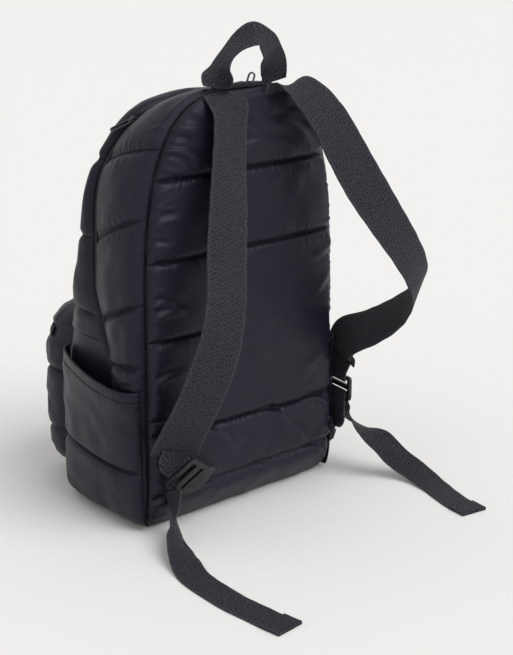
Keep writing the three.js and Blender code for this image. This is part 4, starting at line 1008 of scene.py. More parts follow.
def strap_route(table, bow):
    """A strap's middle line stands off the back panel's own swell by its share of the bow."""
    rows = np.array(table)
    x, z = rows[:, 0] * SEAM_WIDTH / 2, rows[:, 1] * SEAM_HEIGHT
    across = np.clip(x / half_width(z), -1, 1)
    seat = back_puff(across, rows[:, 1], 0.02) - tuck(z, BACK_TUCK, BACK_TUCK_HEIGHT)
    y = seat + TOUCH + STRAP_THICK * 0.7 + rows[:, 2] * bow
    return np.stack([x, y, z], axis=1), rows[:, 3:]


routes = {"left": strap_route(STRAP_LEFT, 0.050), "right": strap_route(STRAP_RIGHT, 0.104)}
straps = {side: band_piece(f"shoulder_strap_{side}_woven", *routes[side], STRAP_WIDTH, STRAP_THICK)
          for side in routes}
print("strap lengths", {side: round(float(straps[side][2][-1]), 3) for side in straps})

# %% Handle
HANDLE_HEIGHT = 0.050
HANDLE = np.array([
    # share of half the seam width, of the webbing's width and of the handle's height, width's direction
    (0.25, 0.01, 0.06, -0.98, 0, 0.06), (0.24, 0, 0.19, -0.85, 0.45, 0.06),
    (0.205, 0, 0.42, 0.1, 0.95, -0.05), (0.135, 0.1, 0.7, 0.42, 0.85, -0.28),
    (0.045, 0.35, 0.93, 0.4, 0.75, -0.5), (-0.06, 0.5, 1, 0.42, 0.62, -0.65),
    (-0.175, 0.53, 0.78, 0.66, 0.25, -0.68), (-0.26, 0.3, 0.5, 0.86, -0.1, -0.48),
    (-0.335, 0.08, 0.26, 0.95, -0.1, -0.12), (-0.35, 0.01, 0.055, 0.98, 0, 0.1),
])
handle_middle = np.stack([HANDLE[:, 0] * SEAM_WIDTH / 2, HANDLE[:, 1] * WEB_WIDTH,
                          SEAM_HEIGHT + HANDLE[:, 2] * HANDLE_HEIGHT], axis=1)
handle, handle_frames, handle_lengths = band_piece(
    "carry_handle_woven", handle_middle, HANDLE[:, 3:], WEB_WIDTH, WEB_THICK)
print("handle length", round(float(handle_lengths[-1]), 3))

# %% Locks' places
LOCK_WIDTH, LOCK_THICK, LOCK_BAR, LOCK_SLOT = 0.038, 0.0035, 0.003, 0.006
LOCK_MIDDLE, LOCK_LOWER, LOCK_PLATE = 0.004, 0.004, 0.011
LOCK_LENGTH = LOCK_BAR + LOCK_SLOT + LOCK_MIDDLE + LOCK_LOWER + LOCK_PLATE


def strap_end(side):
    """The frame at a strap's lower end."""
    return {key: value[0] for key, value in band_frame(*routes[side], np.array([1.0])).items()}


def lock_place(side, hang, across, along):
    """A lock's centre and its three axes: across the webbing, away from the strap, and through its plate."""
    end = strap_end(side)
    u = np.array(across) / np.linalg.norm(across)
    v = np.array(along) - u * np.dot(u, along)
    v /= np.linalg.norm(v)
    n = np.cross(u, v)
    inward = -1 if end["face"] @ n > 0 else 1
    return {"centre": end["at"] + np.array(hang) * LOCK_WIDTH, "u": u, "v": v, "n": n, "inward": inward}


locks = {
    "left": lock_place("left", (-0.342, 0.25, -0.553), (-0.42, 0.57, 0.73), (-0.78, 0.21, -0.61)),
    "right": lock_place("right", (0, -0.026, -0.974), (0.18, 0.98, 0), (0, 0, -1)),
}


def on_lock(lock, along, off):
    """A point on a lock's middle line."""
    return lock["centre"] + lock["v"] * along + lock["n"] * off


LOCK_STACK = LOCK_THICK / 2 + TOUCH + WEB_THICK / 2

# %% Loops and anchors
def loop_route(side):
    """From the outer face of the strap, past its hem, to the back of the lock's first bar."""
    end, lock = strap_end(side), locks[side]
    bar = -LOCK_LENGTH / 2 + LOCK_BAR / 2
    stack = STRAP_THICK / 2 + 4 * TOUCH + WEB_THICK / 2
    turned = -1 if end["wide"] @ lock["u"] < 0 else 1
    middle = [
        end["at"] - end["run"] * 0.008 + end["face"] * stack,
        end["at"] + end["run"] * STRAP_THICK + end["face"] * stack,
        on_lock(lock, bar - LOCK_BAR, lock["inward"] * (LOCK_STACK + 2 * TOUCH)),
        on_lock(lock, bar + LOCK_BAR, lock["inward"] * LOCK_STACK),
    ]
    return middle, [end["wide"], end["wide"], lock["u"] * turned, lock["u"] * turned]


def anchor_route(side):
    """From the lower back seam up behind the lock's plate."""
    lock = locks[side]

    def end(along, clear):
        return on_lock(lock, along, lock["inward"] * (LOCK_STACK + clear))

    if side == "left":
        x, z = 0.51 * SEAM_WIDTH / 2, 0.097 * SEAM_HEIGHT + 0.003
        seat = float(back_puff(np.array([x / 0.119]), np.array([z / SEAM_HEIGHT]), 0.02)[0])
        sewn = np.array([x, seat + 4.5 * WEB_THICK, z])
        middle = [sewn, (sewn + end(0.011, 0.004)) / 2, end(0.011, 0.004), end(0.004, TOUCH), end(0, 0)]
        return middle, [(-0.95, 0, 0.3), (-0.75, 0.3, 0.6), lock["u"], lock["u"], lock["u"]]
    x, z = -SEAM_WIDTH / 2 - 0.0018, 0.109 * SEAM_HEIGHT
    middle = [(x, 0.0012, z), (x - 0.005, 0.004, z + 0.001), end(0.013, 3 * TOUCH), end(0.006, 0), end(0, 0)]
    return middle, [(0, 0.1, 1), (0, 0.5, 0.85), lock["u"], lock["u"], lock["u"]]


small_webs = {}
for side in ("left", "right"):
    small_webs[f"lock_loop_{side}"] = band_piece(
        f"lock_loop_{side}_woven", *map(np.array, loop_route(side)), WEB_WIDTH, WEB_THICK)[0]
    small_webs[f"adjuster_anchor_{side}"] = band_piece(
        f"adjuster_anchor_{side}_woven", *map(np.array, anchor_route(side)), WEB_WIDTH, WEB_THICK)[0]

# %% Adjusting tails
TAIL_SPREAD, TAIL_REACH, HEM = 0.051, 0.212, 0.020
TAIL_STARTS = {"left": (0.291, -0.359, 0), "right": (-0.055, 0.017, 0)}
TAIL_LEFT = [
    # shares of the spread, of the reach and of the lock's height, then the width's direction
    (0, 0, 0.74, 0, 0.8, 0.6), (0.043, 0.026, 0.5, 0.3, 0.85, 0.3), (0.125, 0.054, 0.28, 0.7, 0.7, 0.1),
    (0.286, 0.114, 0.15, 0.75, 0.45, 0.45), (0.514, 0.201, 0.115, 0.85, 0.1, 0.35),
    (0.726, 0.3, 0.05, 0.95, -0.25, 0.08), (0.848, 0.376, 0, 0.97, -0.25, 0),
    (0.924, 0.458, 0, 0.98, -0.15, 0), (0.97, 0.573, 0, 1, -0.05, 0), (1, 0.688, 0, 1, 0, 0),
    (0.976, 0.803, 0, 1, 0.05, 0), (0.954, 0.912, 0, 1, 0.08, 0), (0.918, 1, 0, 0.99, 0.1, 0),
]
TAIL_RIGHT = [
    (0, 0, 0.79, 0.18, 0.98, 0), (-0.046, 0.026, 0.66, 0.4, 0.85, 0.3),
    (-0.091, 0.092, 0.55, 0.8, 0.45, 0.35), (-0.198, 0.229, 0.42, 0.93, 0.1, -0.35),
    (-0.426, 0.289, 0.22, 0.95, 0, -0.28),
    (-0.577, 0.382, 0.09, 0.95, -0.12, -0.18), (-0.517, 0.519, 0.012, 0.94, -0.34, 0),
    (-0.365, 0.628, 0, 0.93, -0.36, 0), (-0.228, 0.732, 0, 0.97, -0.2, 0), (-0.152, 0.843, 0, 1, -0.06, 0),
]


def tail_route(side, table):
    """A tail falls from its lock and then lies on the floor."""
    rows = np.array(table)
    start = locks[side]["centre"] + np.array(TAIL_STARTS[side]) * LOCK_WIDTH
    x = start[0] + rows[:, 0] * TAIL_SPREAD
    y = start[1] + rows[:, 1] * TAIL_REACH
    z = WEB_THICK / 2 + rows[:, 2] * locks[side]["centre"][2]
    return np.stack([x, y, z], axis=1), rows[:, 3:]


tails, hems = {}, {}
for side, table in (("left", TAIL_LEFT), ("right", TAIL_RIGHT)):
    route = tail_route(side, table)
    tails[side] = band_piece(f"adjuster_tail_{side}_woven", *route, WEB_WIDTH, WEB_THICK, lowest=0.0)
    t, lengths = even_places(route[0], BAND_STEP)
    start = float(np.interp(lengths[-1] - HEM, lengths, t))
    hems[side] = band_piece(f"tail_hem_{side}", *route, WEB_WIDTH, WEB_THICK * 0.9, low=start, high=0.9995,
                            lift=WEB_THICK * 0.93, lowest=WEB_THICK * 0.95)[0]
    print(side, "tail length", round(float(lengths[-1]), 3))

# %% [markdown]
# ## Ladder locks
# A lock is one moulded frame: two bars and a plate, with a slot after each bar, and ridges on the plate for
# the thumb. A flat curve with two holes gives its outline, and the curve's own bevel rounds every edge.

# %% Ladder locks
def curve_solid(name, loops, thickness, bevel):
    """A flat curve with holes, thickened and bevelled, as a mesh."""
    data = bpy.data.curves.new(name, "CURVE")
    data.dimensions = "2D"
    data.fill_mode = "BOTH"
    data.extrude = thickness / 2 - bevel
    data.bevel_depth = bevel
    data.bevel_resolution = 2
    for loop in loops:
        spline = data.splines.new("POLY")
        spline.points.add(len(loop) - 1)
        flat = np.concatenate([np.asarray(loop), np.zeros((len(loop), 1)), np.ones((len(loop), 1))], axis=1)
        spline.points.foreach_set("co", flat.ravel())
        spline.use_cyclic_u = True
    curve = bpy.data.objects.new(name + "_curve", data)
    bpy.context.collection.objects.link(curve)
    bpy.context.view_layer.update()
    mesh = bpy.data.meshes.new_from_object(curve.evaluated_get(bpy.context.evaluated_depsgraph_get()))
    bpy.data.objects.remove(curve)
    return mesh


def mesh_arrays(mesh):
    """A mesh's points and its faces as triangles."""
    points = np.empty(len(mesh.vertices) * 3)
    mesh.vertices.foreach_get("co", points)
    mesh.calc_loop_triangles()
    faces = np.empty(len(mesh.loop_triangles) * 3, dtype=np.int64)
    mesh.loop_triangles.foreach_get("vertices", faces)
    return points.reshape(-1, 3), faces.reshape(-1, 3)


def welded(points, faces):
    """Merge points closer than a hundredth of a millimetre and drop faces that collapse."""
    key = np.round(points * 1e5).astype(np.int64)
    unused, first, number = np.unique(key, axis=0, return_index=True, return_inverse=True)
    faces = number.reshape(-1)[faces]
    keep = (faces[:, 0] != faces[:, 1]) & (faces[:, 1] != faces[:, 2]) & (faces[:, 2] != faces[:, 0])
    return points[first], faces[keep]


def rounded_box(low_x, low_y, high_x, high_y, radius, turns=5):
    """Corners of a rectangle as quarter circles."""
    corners = [(high_x, low_y, -90), (high_x, high_y, 0), (low_x, high_y, 90), (low_x, low_y, 180)]
    loop = []
    for x, y, start in corners:
        centre = np.array([x - np.sign(x) * radius, y + (radius if y == low_y else -radius)])
        angle = np.radians(start + np.linspace(0, 90, turns))
        loop.append(centre + radius * np.stack([np.cos(angle), np.sin(angle)], axis=1))
    return np.concatenate(loop)


def lock_loops():
    """The lock's outline with a bowed plate, and its two slots."""
    half, top, bottom = LOCK_WIDTH / 2, -LOCK_LENGTH / 2, LOCK_LENGTH / 2
    bow = np.linspace(1, -1, 15)
    plate = np.stack([bow * (half - 0.0015), bottom + 0.0008 - 0.0045 * np.abs(bow) ** 2.2], axis=1)
    sides = rounded_box(-half, top, half, top + 0.012, 0.0022)
    upper = sides[[k for k in range(len(sides)) if k < 5 or k >= 15]]
    low = bottom - 0.0075
    outline_loop = np.concatenate([upper[:5], [(half, low)], plate, [(-half, low)], upper[5:]])
    slot = WEB_WIDTH / 2 + 0.0006
    first = top + LOCK_BAR
    second = first + LOCK_SLOT + LOCK_MIDDLE
    return [outline_loop, rounded_box(-slot, first, slot, first + LOCK_SLOT, 0.0006, 3),
            rounded_box(-slot, second, slot, second + LOCK_LOWER, 0.0006, 3)]


def ridge(length, radius, place):
    """A thin bar with round ends across the plate, for the thumb's grip."""
    along = np.linspace(-1, 1, 9)[:, None]
    around = np.linspace(0, 2 * np.pi, 10, endpoint=False)[None, :]
    size = radius * np.sqrt(np.clip(1 - np.abs(along) ** 8, 0.02, 1))
    x = length / 2 * along + 0 * around
    points = np.stack([x, place[0] + size * np.cos(around), place[1] + size * np.sin(around)], axis=2)
    index = np.arange(90).reshape(9, 10)
    nexts = np.roll(index, -1, axis=1)
    side = quads(index[:-1], index[1:], nexts[1:], nexts[:-1])
    faces = np.concatenate([side[:, [0, 1, 2]], side[:, [0, 2, 3]]])
    ends = [np.stack([np.full(8, r[0]), r[1:-1][::o], r[2:][::o]], axis=1)[:, ::s]
            for r, o, s in ((index[0], 1, 1), (index[-1], 1, -1))]
    return points.reshape(-1, 3), np.concatenate([faces, *ends])


def lock_piece(side):
    """The moulded frame with three grip ridges on both faces of its plate, turned to its place."""
    parts = [welded(*mesh_arrays(curve_solid("lock", lock_loops(), LOCK_THICK, 0.0007)))]
    for k in range(3):
        for face in (1, -1):
            row = LOCK_LENGTH / 2 - LOCK_PLATE + 0.003 + 0.0024 * k
            parts.append(ridge(LOCK_WIDTH * (0.62 - 0.05 * k), 0.0006, (row, face * LOCK_THICK / 2)))
    points, faces, start = [], [], 0
    for part_points, part_faces in parts:
        points.append(part_points)
        faces.append(part_faces + start)
        start += len(part_points)
    lock = locks[side]
    local = np.concatenate(points)
    placed = lock["centre"] + local[:, :1] * lock["u"] + local[:, 1:2] * lock["v"] + local[:, 2:] * lock["n"]
    piece = mesh_piece(f"ladder_lock_{side}_moulded", placed + IN_FRAME,
                       np.concatenate(faces), shade_smooth=False)
    return piece


lock_pieces = {side: lock_piece(side) for side in locks}
print("lock triangles", len(lock_pieces["left"].data.polygons))

# %% [markdown]
# ## Zips
# Each zip is a woven tape with two rows of teeth. The main one lies in the slot between gusset and front
# panel. A tooth is a small rounded block; hundreds of them follow the zip's own curve, left and right in
# turn.

# %% Zips
def tape_piece(name, edges, out, off):
    """A flat strip between two edge curves, one millimetre thick."""
    left, right = edges
    share = np.linspace(0, 1, 7)[None, :, None]
    grid = left[:, None] * (1 - share) + right[:, None] * share
    return wall_piece(name, grid + out[:, None] * off, grid + out[:, None] * (off - 0.001))


def repeated(name, shape, centres, axes, sizes):
    """One small shape set at many places: point = centre + axes . (size * shape)."""
    points, faces = shape
    local = points[None] * sizes[:, None]
    placed = centres[:, None] + np.einsum("nij,nki->nkj", axes, local)
    numbers = faces[None] + (np.arange(len(centres)) * len(points))[:, None, None]
    return mesh_piece(name, placed + IN_FRAME, numbers.reshape(-1, faces.shape[1]))


def unit_rows(vectors):
    """Each row at length one."""
    return vectors / (np.linalg.norm(vectors, axis=1, keepdims=True) + 1e-12)


def pebble(rings=4, around=6):
    """A squared ball of radius one, with its poles closed, as triangles."""
    lat = np.linspace(-np.pi / 2, np.pi / 2, rings + 1)[1:-1][:, None]
    lon = np.linspace(0, 2 * np.pi, around, endpoint=False)[None, :]
    x, y, z = np.cos(lat) * np.cos(lon), np.cos(lat) * np.sin(lon), np.sin(lat) + 0 * lon
    points = np.concatenate([np.stack([x, y, z], axis=2).reshape(-1, 3), [[0, 0, -1], [0, 0, 1]]])
    index = np.arange((rings - 1) * around).reshape(rings - 1, around)
    nexts = np.roll(index, -1, axis=1)
    side = quads(index[:-1], nexts[:-1], nexts[1:], index[1:])
    low = np.stack([nexts[0], index[0], np.full(around, len(points) - 2)], axis=1)
    high = np.stack([index[-1], nexts[-1], np.full(around, len(points) - 1)], axis=1)
    return points, np.concatenate([side[:, [0, 1, 2]], side[:, [0, 2, 3]], low, high])


def teeth_piece(name, middle, across, out, pitch=0.0014):
    """Two rows of teeth along a curve, half a pitch apart."""
    run = run_along(middle)
    places = np.arange(pitch, run[-1] - pitch, pitch / 2)
    side, up = (unit_rows(points_at(places, run, way)) for way in (across, out))
    turn = np.where(np.arange(len(places)) % 2 == 0, 1, -1)[:, None]
    centres = points_at(places, run, middle) + side * turn * 0.0009 + up * 0.0005
    axes = np.stack([side, np.cross(up, side), up], axis=1)
    sizes = np.tile([0.0014, 0.00052, 0.00075], (len(places), 1))
    return repeated(name, pebble(), centres, axes, sizes)


zip_run = {key: value[stations["h"] > 0.43] for key, value in stations.items()}
zip_middle, zip_out = front_seam(zip_run), outward(zip_run)
zip_side = np.tile([0.0, 1.0, 0.0], (len(zip_middle), 1))
edge = (zip_half(zip_run["h"]) - SEAM_GAP)[:, None] * zip_side
main_tape = tape_piece("main_zip_tape", (zip_middle + edge, zip_middle - edge), zip_out, -TOUCH)
main_teeth = teeth_piece("main_zip_teeth", zip_middle, zip_side, zip_out)


def pocket_strip(share, off):
    """A line across the pocket at one height, a little off its wadding."""
    angle = np.linspace(0.35, np.pi / 2, 60)
    one = np.array([share])
    line, normal = pocket_half(one, angle, pocket_puff(one, angle) + off)
    return whole_face(line)[0], whole_face(normal)[0]


pocket_low, pocket_way = pocket_strip(ZIP_SHARE - 0.05, 0.0022)
pocket_high, unused = pocket_strip(ZIP_SHARE + 0.05, 0.0022)
pocket_line, unused = pocket_strip(ZIP_SHARE, 0.0023)
pocket_tape = tape_piece("front_pocket_zip_tape", (pocket_low, pocket_high), pocket_way, 0)
pocket_teeth = teeth_piece("front_pocket_zip_teeth", pocket_line, pocket_high - pocket_low, pocket_way)
print("teeth", len(main_teeth.data.polygons), len(pocket_teeth.data.polygons))

# %% [markdown]
# ## Stitches
# Sewing thread shows as short dashes along every hem. One tiny ball, drawn out to a grain, is set along each
# line.

# %% Stitches
def stitch_line(name, line, up, pitch=0.0032, length=0.0023, radius=0.00028):
    """Grains of thread along a polyline, lying on the face that looks along up."""
    run = run_along(line)
    places = np.arange(pitch / 2, run[-1], pitch)
    at = points_at(places, run, line)
    way = unit_rows(points_at(places + 0.0005, run, line) - points_at(places - 0.0005, run, line))
    over = points_at(places, run, up)
    over = unit_rows(over - way * np.einsum("ij,ij->i", over, way)[:, None])
    axes = np.stack([way, np.cross(over, way), over], axis=1)
    sizes = np.tile([length / 2, radius * 1.3, radius], (len(places), 1))
    return repeated(name, pebble(), at + over * radius * 0.6, axes, sizes)


def on_band(frames, lengths, start, stop, across, lift):
    """A line on a band's face: lengths from start to stop, at a distance across it."""
    places = np.linspace(start, stop, 24)
    at, wide, face = (points_at(places, lengths, frames[key]) for key in ("at", "wide", "face"))
    across = np.linspace(*across, 24)[:, None] if np.ndim(across) else across
    return at + wide * across + face * lift, face


def hem_stitches(name, band, insets, reach, lift):
    """Rows of stitches across a band's end, one at each inset."""
    unused, frames, lengths = band
    for number, inset in enumerate(insets):
        place = lengths[-1] - inset
        line, up = on_band(frames, lengths, place, place - 1e-5, (-reach, reach), lift)
        threads.append(stitch_line(f"{name}_{number}", line, up))


threads = []
for side in ("left", "right"):
    hem_stitches(f"strap_hem_stitches_{side}", straps[side], (0.003, 0.012), 0.023, STRAP_THICK / 2)
    hem_stitches(f"tail_hem_stitches_{side}", tails[side], (0.003, 0.017), 0.0125, WEB_THICK * 1.4)
handle_end = handle_lengths[-1]
for number, (start, stop) in enumerate(((0.002, 0.010), (handle_end - 0.010, handle_end - 0.002))):
    for across in (-0.0125, 0.0125):
        line, up = on_band(handle_frames, handle_lengths, start, stop, across, WEB_THICK / 2)
        threads.append(stitch_line(f"handle_stitches_{number}_{int(across > 0)}", line, up))
print("stitch lines", len(threads))

# %% [markdown]
# ## Materials
# Black is never one black here. The quilted shell is a tight nylon with a soft sheen and a hint of violet,
# and fine creases run all over it. The webbing is a coarse matt weave whose edges catch light. Locks and
# pullers are smooth and hard, with worn edges. The node groups are weave, creases, edge wear and seams.

# %% Node groups
def node_group(name, inputs, outputs):
    """An empty shader node group. An input whose default is a tuple is a vector, all else are numbers."""
    group = bpy.data.node_groups.new(name, "ShaderNodeTree")
    for label, default in inputs:
        kind = "NodeSocketVector" if isinstance(default, tuple) else "NodeSocketFloat"
        socket = group.interface.new_socket(label, in_out="INPUT", socket_type=kind)
        socket.default_value = default
    for label in outputs:
        group.interface.new_socket(label, in_out="OUTPUT", socket_type="NodeSocketFloat")
    return group, group.nodes.new("NodeGroupInput"), group.nodes.new("NodeGroupOutput")


def math_node(tree, operation, first, second=None, third=None):
    """A Math node fed with sockets or numbers."""
    node = tree.nodes.new("ShaderNodeMath")
    node.operation = operation
    for socket, value in zip(node.inputs, (first, second, third)):
        if value is None:
            continue
        if isinstance(value, (int, float)):
            socket.default_value = value
        else:
            tree.links.new(value, socket)
    return node.outputs[0]


def noise_node(tree, vector, scale, detail=3.0, roughness=0.5, stretch=None):
    """Fractal noise on a vector, optionally stretched along its axes."""
    if stretch is not None:
        mapping = tree.nodes.new("ShaderNodeMapping")
        mapping.inputs["Scale"].default_value = stretch
        tree.links.new(vector, mapping.inputs["Vector"])
        vector = mapping.outputs["Vector"]
    node = tree.nodes.new("ShaderNodeTexNoise")
    node.inputs["Scale"].default_value = scale
    node.inputs["Detail"].default_value = detail
    node.inputs["Roughness"].default_value = roughness
    tree.links.new(vector, node.inputs["Vector"])
    return node.outputs["Fac"]


def weave_group():
    """Threads over and under: two sine waves across each other, in turn by a checker of the same pitch."""
    group, inside, outside = node_group(
        "weave", [("Place", (0.0, 0.0, 0.0)), ("Threads", 1000.0), ("Slant", 0.0)], ["Height", "Thread"])
    split = group.nodes.new("ShaderNodeSeparateXYZ")
    group.links.new(inside.outputs["Place"], split.inputs[0])
    u = math_node(group, "MULTIPLY", split.outputs["X"], inside.outputs["Threads"])
    v = math_node(group, "MULTIPLY", split.outputs["Y"], inside.outputs["Threads"])
    v = math_node(group, "MULTIPLY_ADD", u, inside.outputs["Slant"], v)
    wave_u = math_node(group, "ABSOLUTE", math_node(group, "SINE", math_node(group, "MULTIPLY", u, 3.14159)))
    wave_v = math_node(group, "ABSOLUTE", math_node(group, "SINE", math_node(group, "MULTIPLY", v, 3.14159)))
    sum_uv = math_node(group, "ADD", math_node(group, "FLOOR", u), math_node(group, "FLOOR", v))
    turn = math_node(group, "PINGPONG", sum_uv, 1.0)
    first = math_node(group, "MULTIPLY", wave_u, turn)
    second = math_node(group, "MULTIPLY", wave_v, math_node(group, "SUBTRACT", 1.0, turn))
    group.links.new(math_node(group, "ADD", first, second), outside.inputs["Height"])
    group.links.new(turn, outside.inputs["Thread"])
    return group


def crease_group():
    """Fine creases: noise folded at its middle value, so that sharp lines run through soft hollows."""
    group, inside, outside = node_group(
        "creases", [("Place", (0.0, 0.0, 0.0)), ("Size", 60.0)], ["Height", "Patch"])
    node = group.nodes.new("ShaderNodeTexNoise")
    node.inputs["Detail"].default_value = 2.0
    group.links.new(inside.outputs["Place"], node.inputs["Vector"])
    group.links.new(inside.outputs["Size"], node.inputs["Scale"])
    folded = math_node(group, "ABSOLUTE", math_node(group, "SUBTRACT", node.outputs["Fac"], 0.5))
    group.links.new(math_node(group, "POWER", folded, 0.6), outside.inputs["Height"])
    patch = noise_node(group, inside.outputs["Place"], 9.0, 2.0)
    group.links.new(patch, outside.inputs["Patch"])
    return group


def wear_group():
    """Edge wear: the difference between a bevelled normal and the face's own, broken up by noise."""
    group, inside, outside = node_group("edge_wear", [("Place", (0.0, 0.0, 0.0)), ("Grain", 900.0)], ["Wear"])
    bevel = group.nodes.new("ShaderNodeBevel")
    bevel.inputs["Radius"].default_value = 0.0006
    face = group.nodes.new("ShaderNodeNewGeometry")
    dot = group.nodes.new("ShaderNodeVectorMath")
    dot.operation = "DOT_PRODUCT"
    group.links.new(bevel.outputs["Normal"], dot.inputs[0])
    group.links.new(face.outputs["Normal"], dot.inputs[1])
    edge = math_node(group, "SUBTRACT", 1.0, dot.outputs["Value"])
    node = group.nodes.new("ShaderNodeTexNoise")
    group.links.new(inside.outputs["Place"], node.inputs["Vector"])
    group.links.new(inside.outputs["Grain"], node.inputs["Scale"])
    worn = math_node(group, "MULTIPLY", math_node(group, "MULTIPLY", edge, 4.0), node.outputs["Fac"])
    group.links.new(math_node(group, "MINIMUM", worn, 1.0), outside.inputs["Wear"])
    return group


def seam_group():
    """A thin line of painted shade on each seam, exp(-(d / 0.8 mm)^2), a thinner one on sewn edges, and
    gathers: noise drawn out away from it.
    """
    group, inside, outside = node_group(
        "seams", [("Place", (0.0, 0.0, 0.0)), ("Gathers", 260.0), ("Seam", 1.0), ("Edge", 1.0)],
        ["Height", "Line"])

    def fading(distance, reach, power=1.0):
        share = math_node(group, "DIVIDE", distance, reach)
        share = math_node(group, "POWER", share, power)
        return math_node(group, "EXPONENT", math_node(group, "MULTIPLY", share, -1.0))

    seam, edge = inside.outputs["Seam"], inside.outputs["Edge"]
    # painted shade: a mask that darkens the cloth along seams and sewn edges
    line = math_node(group, "MAXIMUM", fading(seam, 0.0008, 2.0), fading(edge, 0.0005, 2.0))
    pull_in = math_node(group, "MAXIMUM", fading(seam, 0.0016), fading(edge, 0.0016))
    beside = []
    for distance, stretch in ((seam, (1.0, 0.12, 1.0)), (edge, (0.12, 1.0, 1.0))):
        gathers = noise_node(group, inside.outputs["Place"], 260.0, 1.0, 0.4, stretch)
        group.links.new(inside.outputs["Gathers"], gathers.node.inputs["Scale"])
        beside.append(math_node(group, "MULTIPLY", gathers, fading(distance, 0.009)))
    height = math_node(group, "ADD", beside[0], beside[1])
    height = math_node(group, "SUBTRACT", height, pull_in)
    group.links.new(height, outside.inputs["Height"])
    group.links.new(line, outside.inputs["Line"])
    return group


groups = {"weave": weave_group(), "creases": crease_group(), "wear": wear_group(), "seams": seam_group()}


# %% Materials
def use_group(tree, name, place, **values):
    """A shared group in a material, fed with a place and its own numbers."""
    node = tree.nodes.new("ShaderNodeGroup")
    node.node_tree = groups[name]
    tree.links.new(place, node.inputs["Place"])
    for label, value in values.items():
        node.inputs[label].default_value = value
    return node.outputs


def seams_input(outputs, label):
    """An input of the group that these outputs belong to."""
    return outputs[0].node.inputs[label]


def place_of(tree, kind):
    """A texture place: Object coordinates, or the piece's own cloth map."""
    return tree.nodes.new("ShaderNodeTexCoord").outputs[kind]


def colour_mix(tree, factor, first, second):
    """A mix of two colours by a factor."""
    node = tree.nodes.new("ShaderNodeMix")
    node.data_type = "RGBA"
    tree.links.new(factor, node.inputs["Factor"])
    node.inputs[6].default_value = (*first, 1)
    node.inputs[7].default_value = (*second, 1)
    return node.outputs[2]


def number_range(tree, value, low, high):
    """Stretch a 0 to 1 value to a range."""
    return math_node(tree, "MULTIPLY_ADD", value, high - low, low)


def bumped(tree, shader, heights):
    """Chain Bump nodes for (height, distance, strength) and feed the shader's normal."""
    normal = None
    for height, distance, strength in heights:
        node = tree.nodes.new("ShaderNodeBump")
        node.inputs["Distance"].default_value = distance
        node.inputs["Strength"].default_value = strength
        tree.links.new(height, node.inputs["Height"])
        if normal is not None:
            tree.links.new(normal, node.inputs["Normal"])
        normal = node.outputs["Normal"]
    tree.links.new(normal, shader.inputs["Normal"])


def attribute(tree, label):
    """One of a piece's own numbers, such as its distance from the nearest seam."""
    node = tree.nodes.new("ShaderNodeAttribute")
    node.attribute_name = label
    return node.outputs["Fac"]


def nylon_material(name, dark, light, sheen, crease):
    """Tight nylon: a faint weave, fine creases, patches of gloss, and painted shade along the seams, with
    gathers beside them.
    """
    material = plain_material(name, dark, 0.45)
    tree = material.node_tree
    shader = tree.nodes["Principled BSDF"]
    shader.inputs["Specular IOR Level"].default_value = 0.27
    shader.inputs["Specular Tint"].default_value = (0.92, 0.89, 1.0, 1)
    shader.inputs["Sheen Weight"].default_value = sheen
    shader.inputs["Sheen Roughness"].default_value = 0.4
    place = place_of(tree, "Object")
    cloth = place_of(tree, "UV")
    weave = use_group(tree, "weave", cloth, Threads=2600.0)
    fine = use_group(tree, "creases", place, Size=95.0)
    large = use_group(tree, "creases", place, Size=26.0)
    seams = use_group(tree, "seams", cloth, Gathers=260.0)
    for label in ("Seam", "Edge"):
        tree.links.new(attribute(tree, label.lower()), seams_input(seams, label))
    patchy = colour_mix(tree, fine["Patch"], dark, light)
    # painted shade: the base colour goes near black along seams and sewn edges
    painted_seam_shade = colour_mix(tree, seams["Line"], dark, (0.0004, 0.0003, 0.0008))
    tree.links.new(patchy, painted_seam_shade.node.inputs[6])
    tree.links.new(painted_seam_shade, shader.inputs["Base Color"])
    rough = number_range(tree, fine["Patch"], 0.38, 0.54)
    rough = math_node(tree, "ADD", rough, math_node(tree, "MULTIPLY", seams["Line"], 0.5))
    tree.links.new(rough, shader.inputs["Roughness"])
    bumped(tree, shader, [(large["Height"], 0.0014, crease), (fine["Height"], 0.0004, crease),
                          (seams["Height"], 0.0012, 0.8), (weave["Height"], 0.00006, 0.3)])
    return material


def webbing_material(name, dark, light):
    """Coarse webbing: slanted ribs of thread over a pebbled ground, a painted highlight along both edges,
    matt.
    """
    material = plain_material(name, dark, 0.75)
    tree = material.node_tree
    shader = tree.nodes["Principled BSDF"]
    shader.inputs["Specular IOR Level"].default_value = 0.16
    shader.inputs["Sheen Weight"].default_value = 0.05
    place = place_of(tree, "UV")
    weave = use_group(tree, "weave", place, Threads=520.0, Slant=0.5)
    fuzz = noise_node(tree, place, 640.0, 2.0)
    grain = number_range(tree, fuzz, -1.5, 2.4)
    grain = math_node(tree, "MINIMUM", math_node(tree, "MAXIMUM", grain, 0.0), 1.0)
    mixed = math_node(tree, "MULTIPLY_ADD", math_node(tree, "MULTIPLY", weave["Height"], grain), 0.8,
                      math_node(tree, "MULTIPLY", grain, 0.3))
    # painted highlight along both edges of the band
    paler = math_node(tree, "ADD", mixed, attribute(tree, "edge_highlight"))
    paler = math_node(tree, "MINIMUM", paler, 1.0)
    tree.links.new(colour_mix(tree, paler, dark, light), shader.inputs["Base Color"])
    tree.links.new(number_range(tree, fuzz, 0.5, 0.75), shader.inputs["Roughness"])
    bumped(tree, shader, [(weave["Height"], 0.0006, 0.8), (grain, 0.0005, 0.7)])
    return material


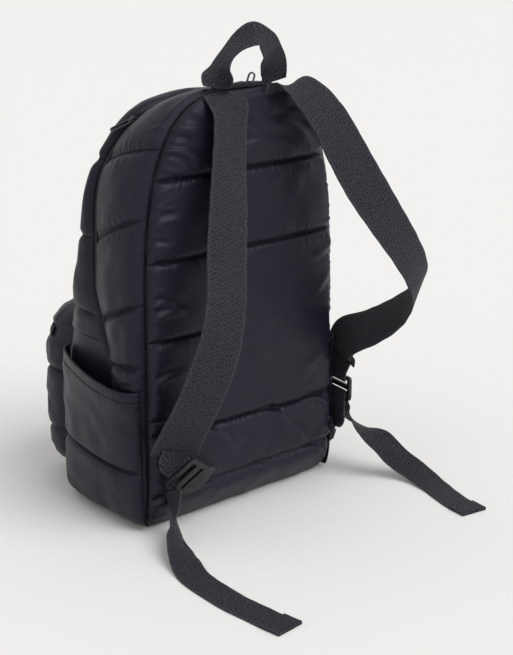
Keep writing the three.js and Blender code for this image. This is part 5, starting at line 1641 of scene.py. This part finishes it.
def hard_material(name, dark, light, low, high):
    """Moulded plastic or painted metal: fine grain, uneven gloss, paler worn edges."""
    material = plain_material(name, dark, low)
    tree = material.node_tree
    shader = tree.nodes["Principled BSDF"]
    place = place_of(tree, "Object")
    wear = use_group(tree, "wear", place, Grain=900.0)
    grain = noise_node(tree, place, 2600.0, 2.0)
    tree.links.new(colour_mix(tree, wear["Wear"], dark, light), shader.inputs["Base Color"])
    tree.links.new(number_range(tree, grain, low, high), shader.inputs["Roughness"])
    bumped(tree, shader, [(grain, 0.00006, 0.4)])
    return material


quilted = nylon_material("quilted_nylon", (0.0066, 0.0056, 0.0125), (0.0105, 0.0092, 0.0185), 0.03, 0.13)
plain_nylon = nylon_material("plain_nylon", (0.006, 0.0055, 0.009), (0.009, 0.0085, 0.012), 0.02, 0.15)
webbing = webbing_material("webbing", (0.0016, 0.0015, 0.0028), (0.058, 0.056, 0.078))
tape = webbing_material("zip_tape", (0.005, 0.005, 0.006), (0.016, 0.016, 0.018))
plastic = hard_material("lock_plastic", (0.012, 0.012, 0.014), (0.07, 0.07, 0.075), 0.22, 0.36)
zip_metal = hard_material("zip_metal", (0.016, 0.016, 0.018), (0.12, 0.12, 0.12), 0.25, 0.4)
thread = plain_material("thread", (0.02, 0.02, 0.023), 0.6)

# %% Dress the pieces
dress(back_panel, quilted, ["back_panel"])
dress(gusset, quilted, ["gusset"])
dress(front_panel, quilted, ["front_panel"])
dress(front_pocket, quilted, ["front_pocket"])
dress(base, plain_nylon, ["base_panel"])
dress(main_tape, tape, ["main_zip"])
dress(main_teeth, zip_metal)
dress(pocket_tape, tape, ["front_pocket_zip"])
dress(pocket_teeth, zip_metal)
dress(handle, webbing, ["carry_handle"])
for side in ("left", "right"):
    side_pocket = bpy.data.objects[f"side_pocket_{side}_sewn"]
    dress(side_pocket, quilted, [f"side_pocket_{side}"])
    dress(straps[side][0], webbing, [f"shoulder_strap_{side}"])
    dress(tails[side][0], webbing, [f"adjuster_tail_{side}"])
    dress(hems[side], webbing)
    dress(lock_pieces[side], plastic, [f"ladder_lock_{side}"])
for node, piece in small_webs.items():
    dress(piece, webbing, [node])
for piece in threads:
    dress(piece, thread)
for name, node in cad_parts.items():
    if name.startswith("zip_slider") or name.startswith("zip_puller"):
        node.data.materials.clear()
        node.data.materials.append(zip_metal)
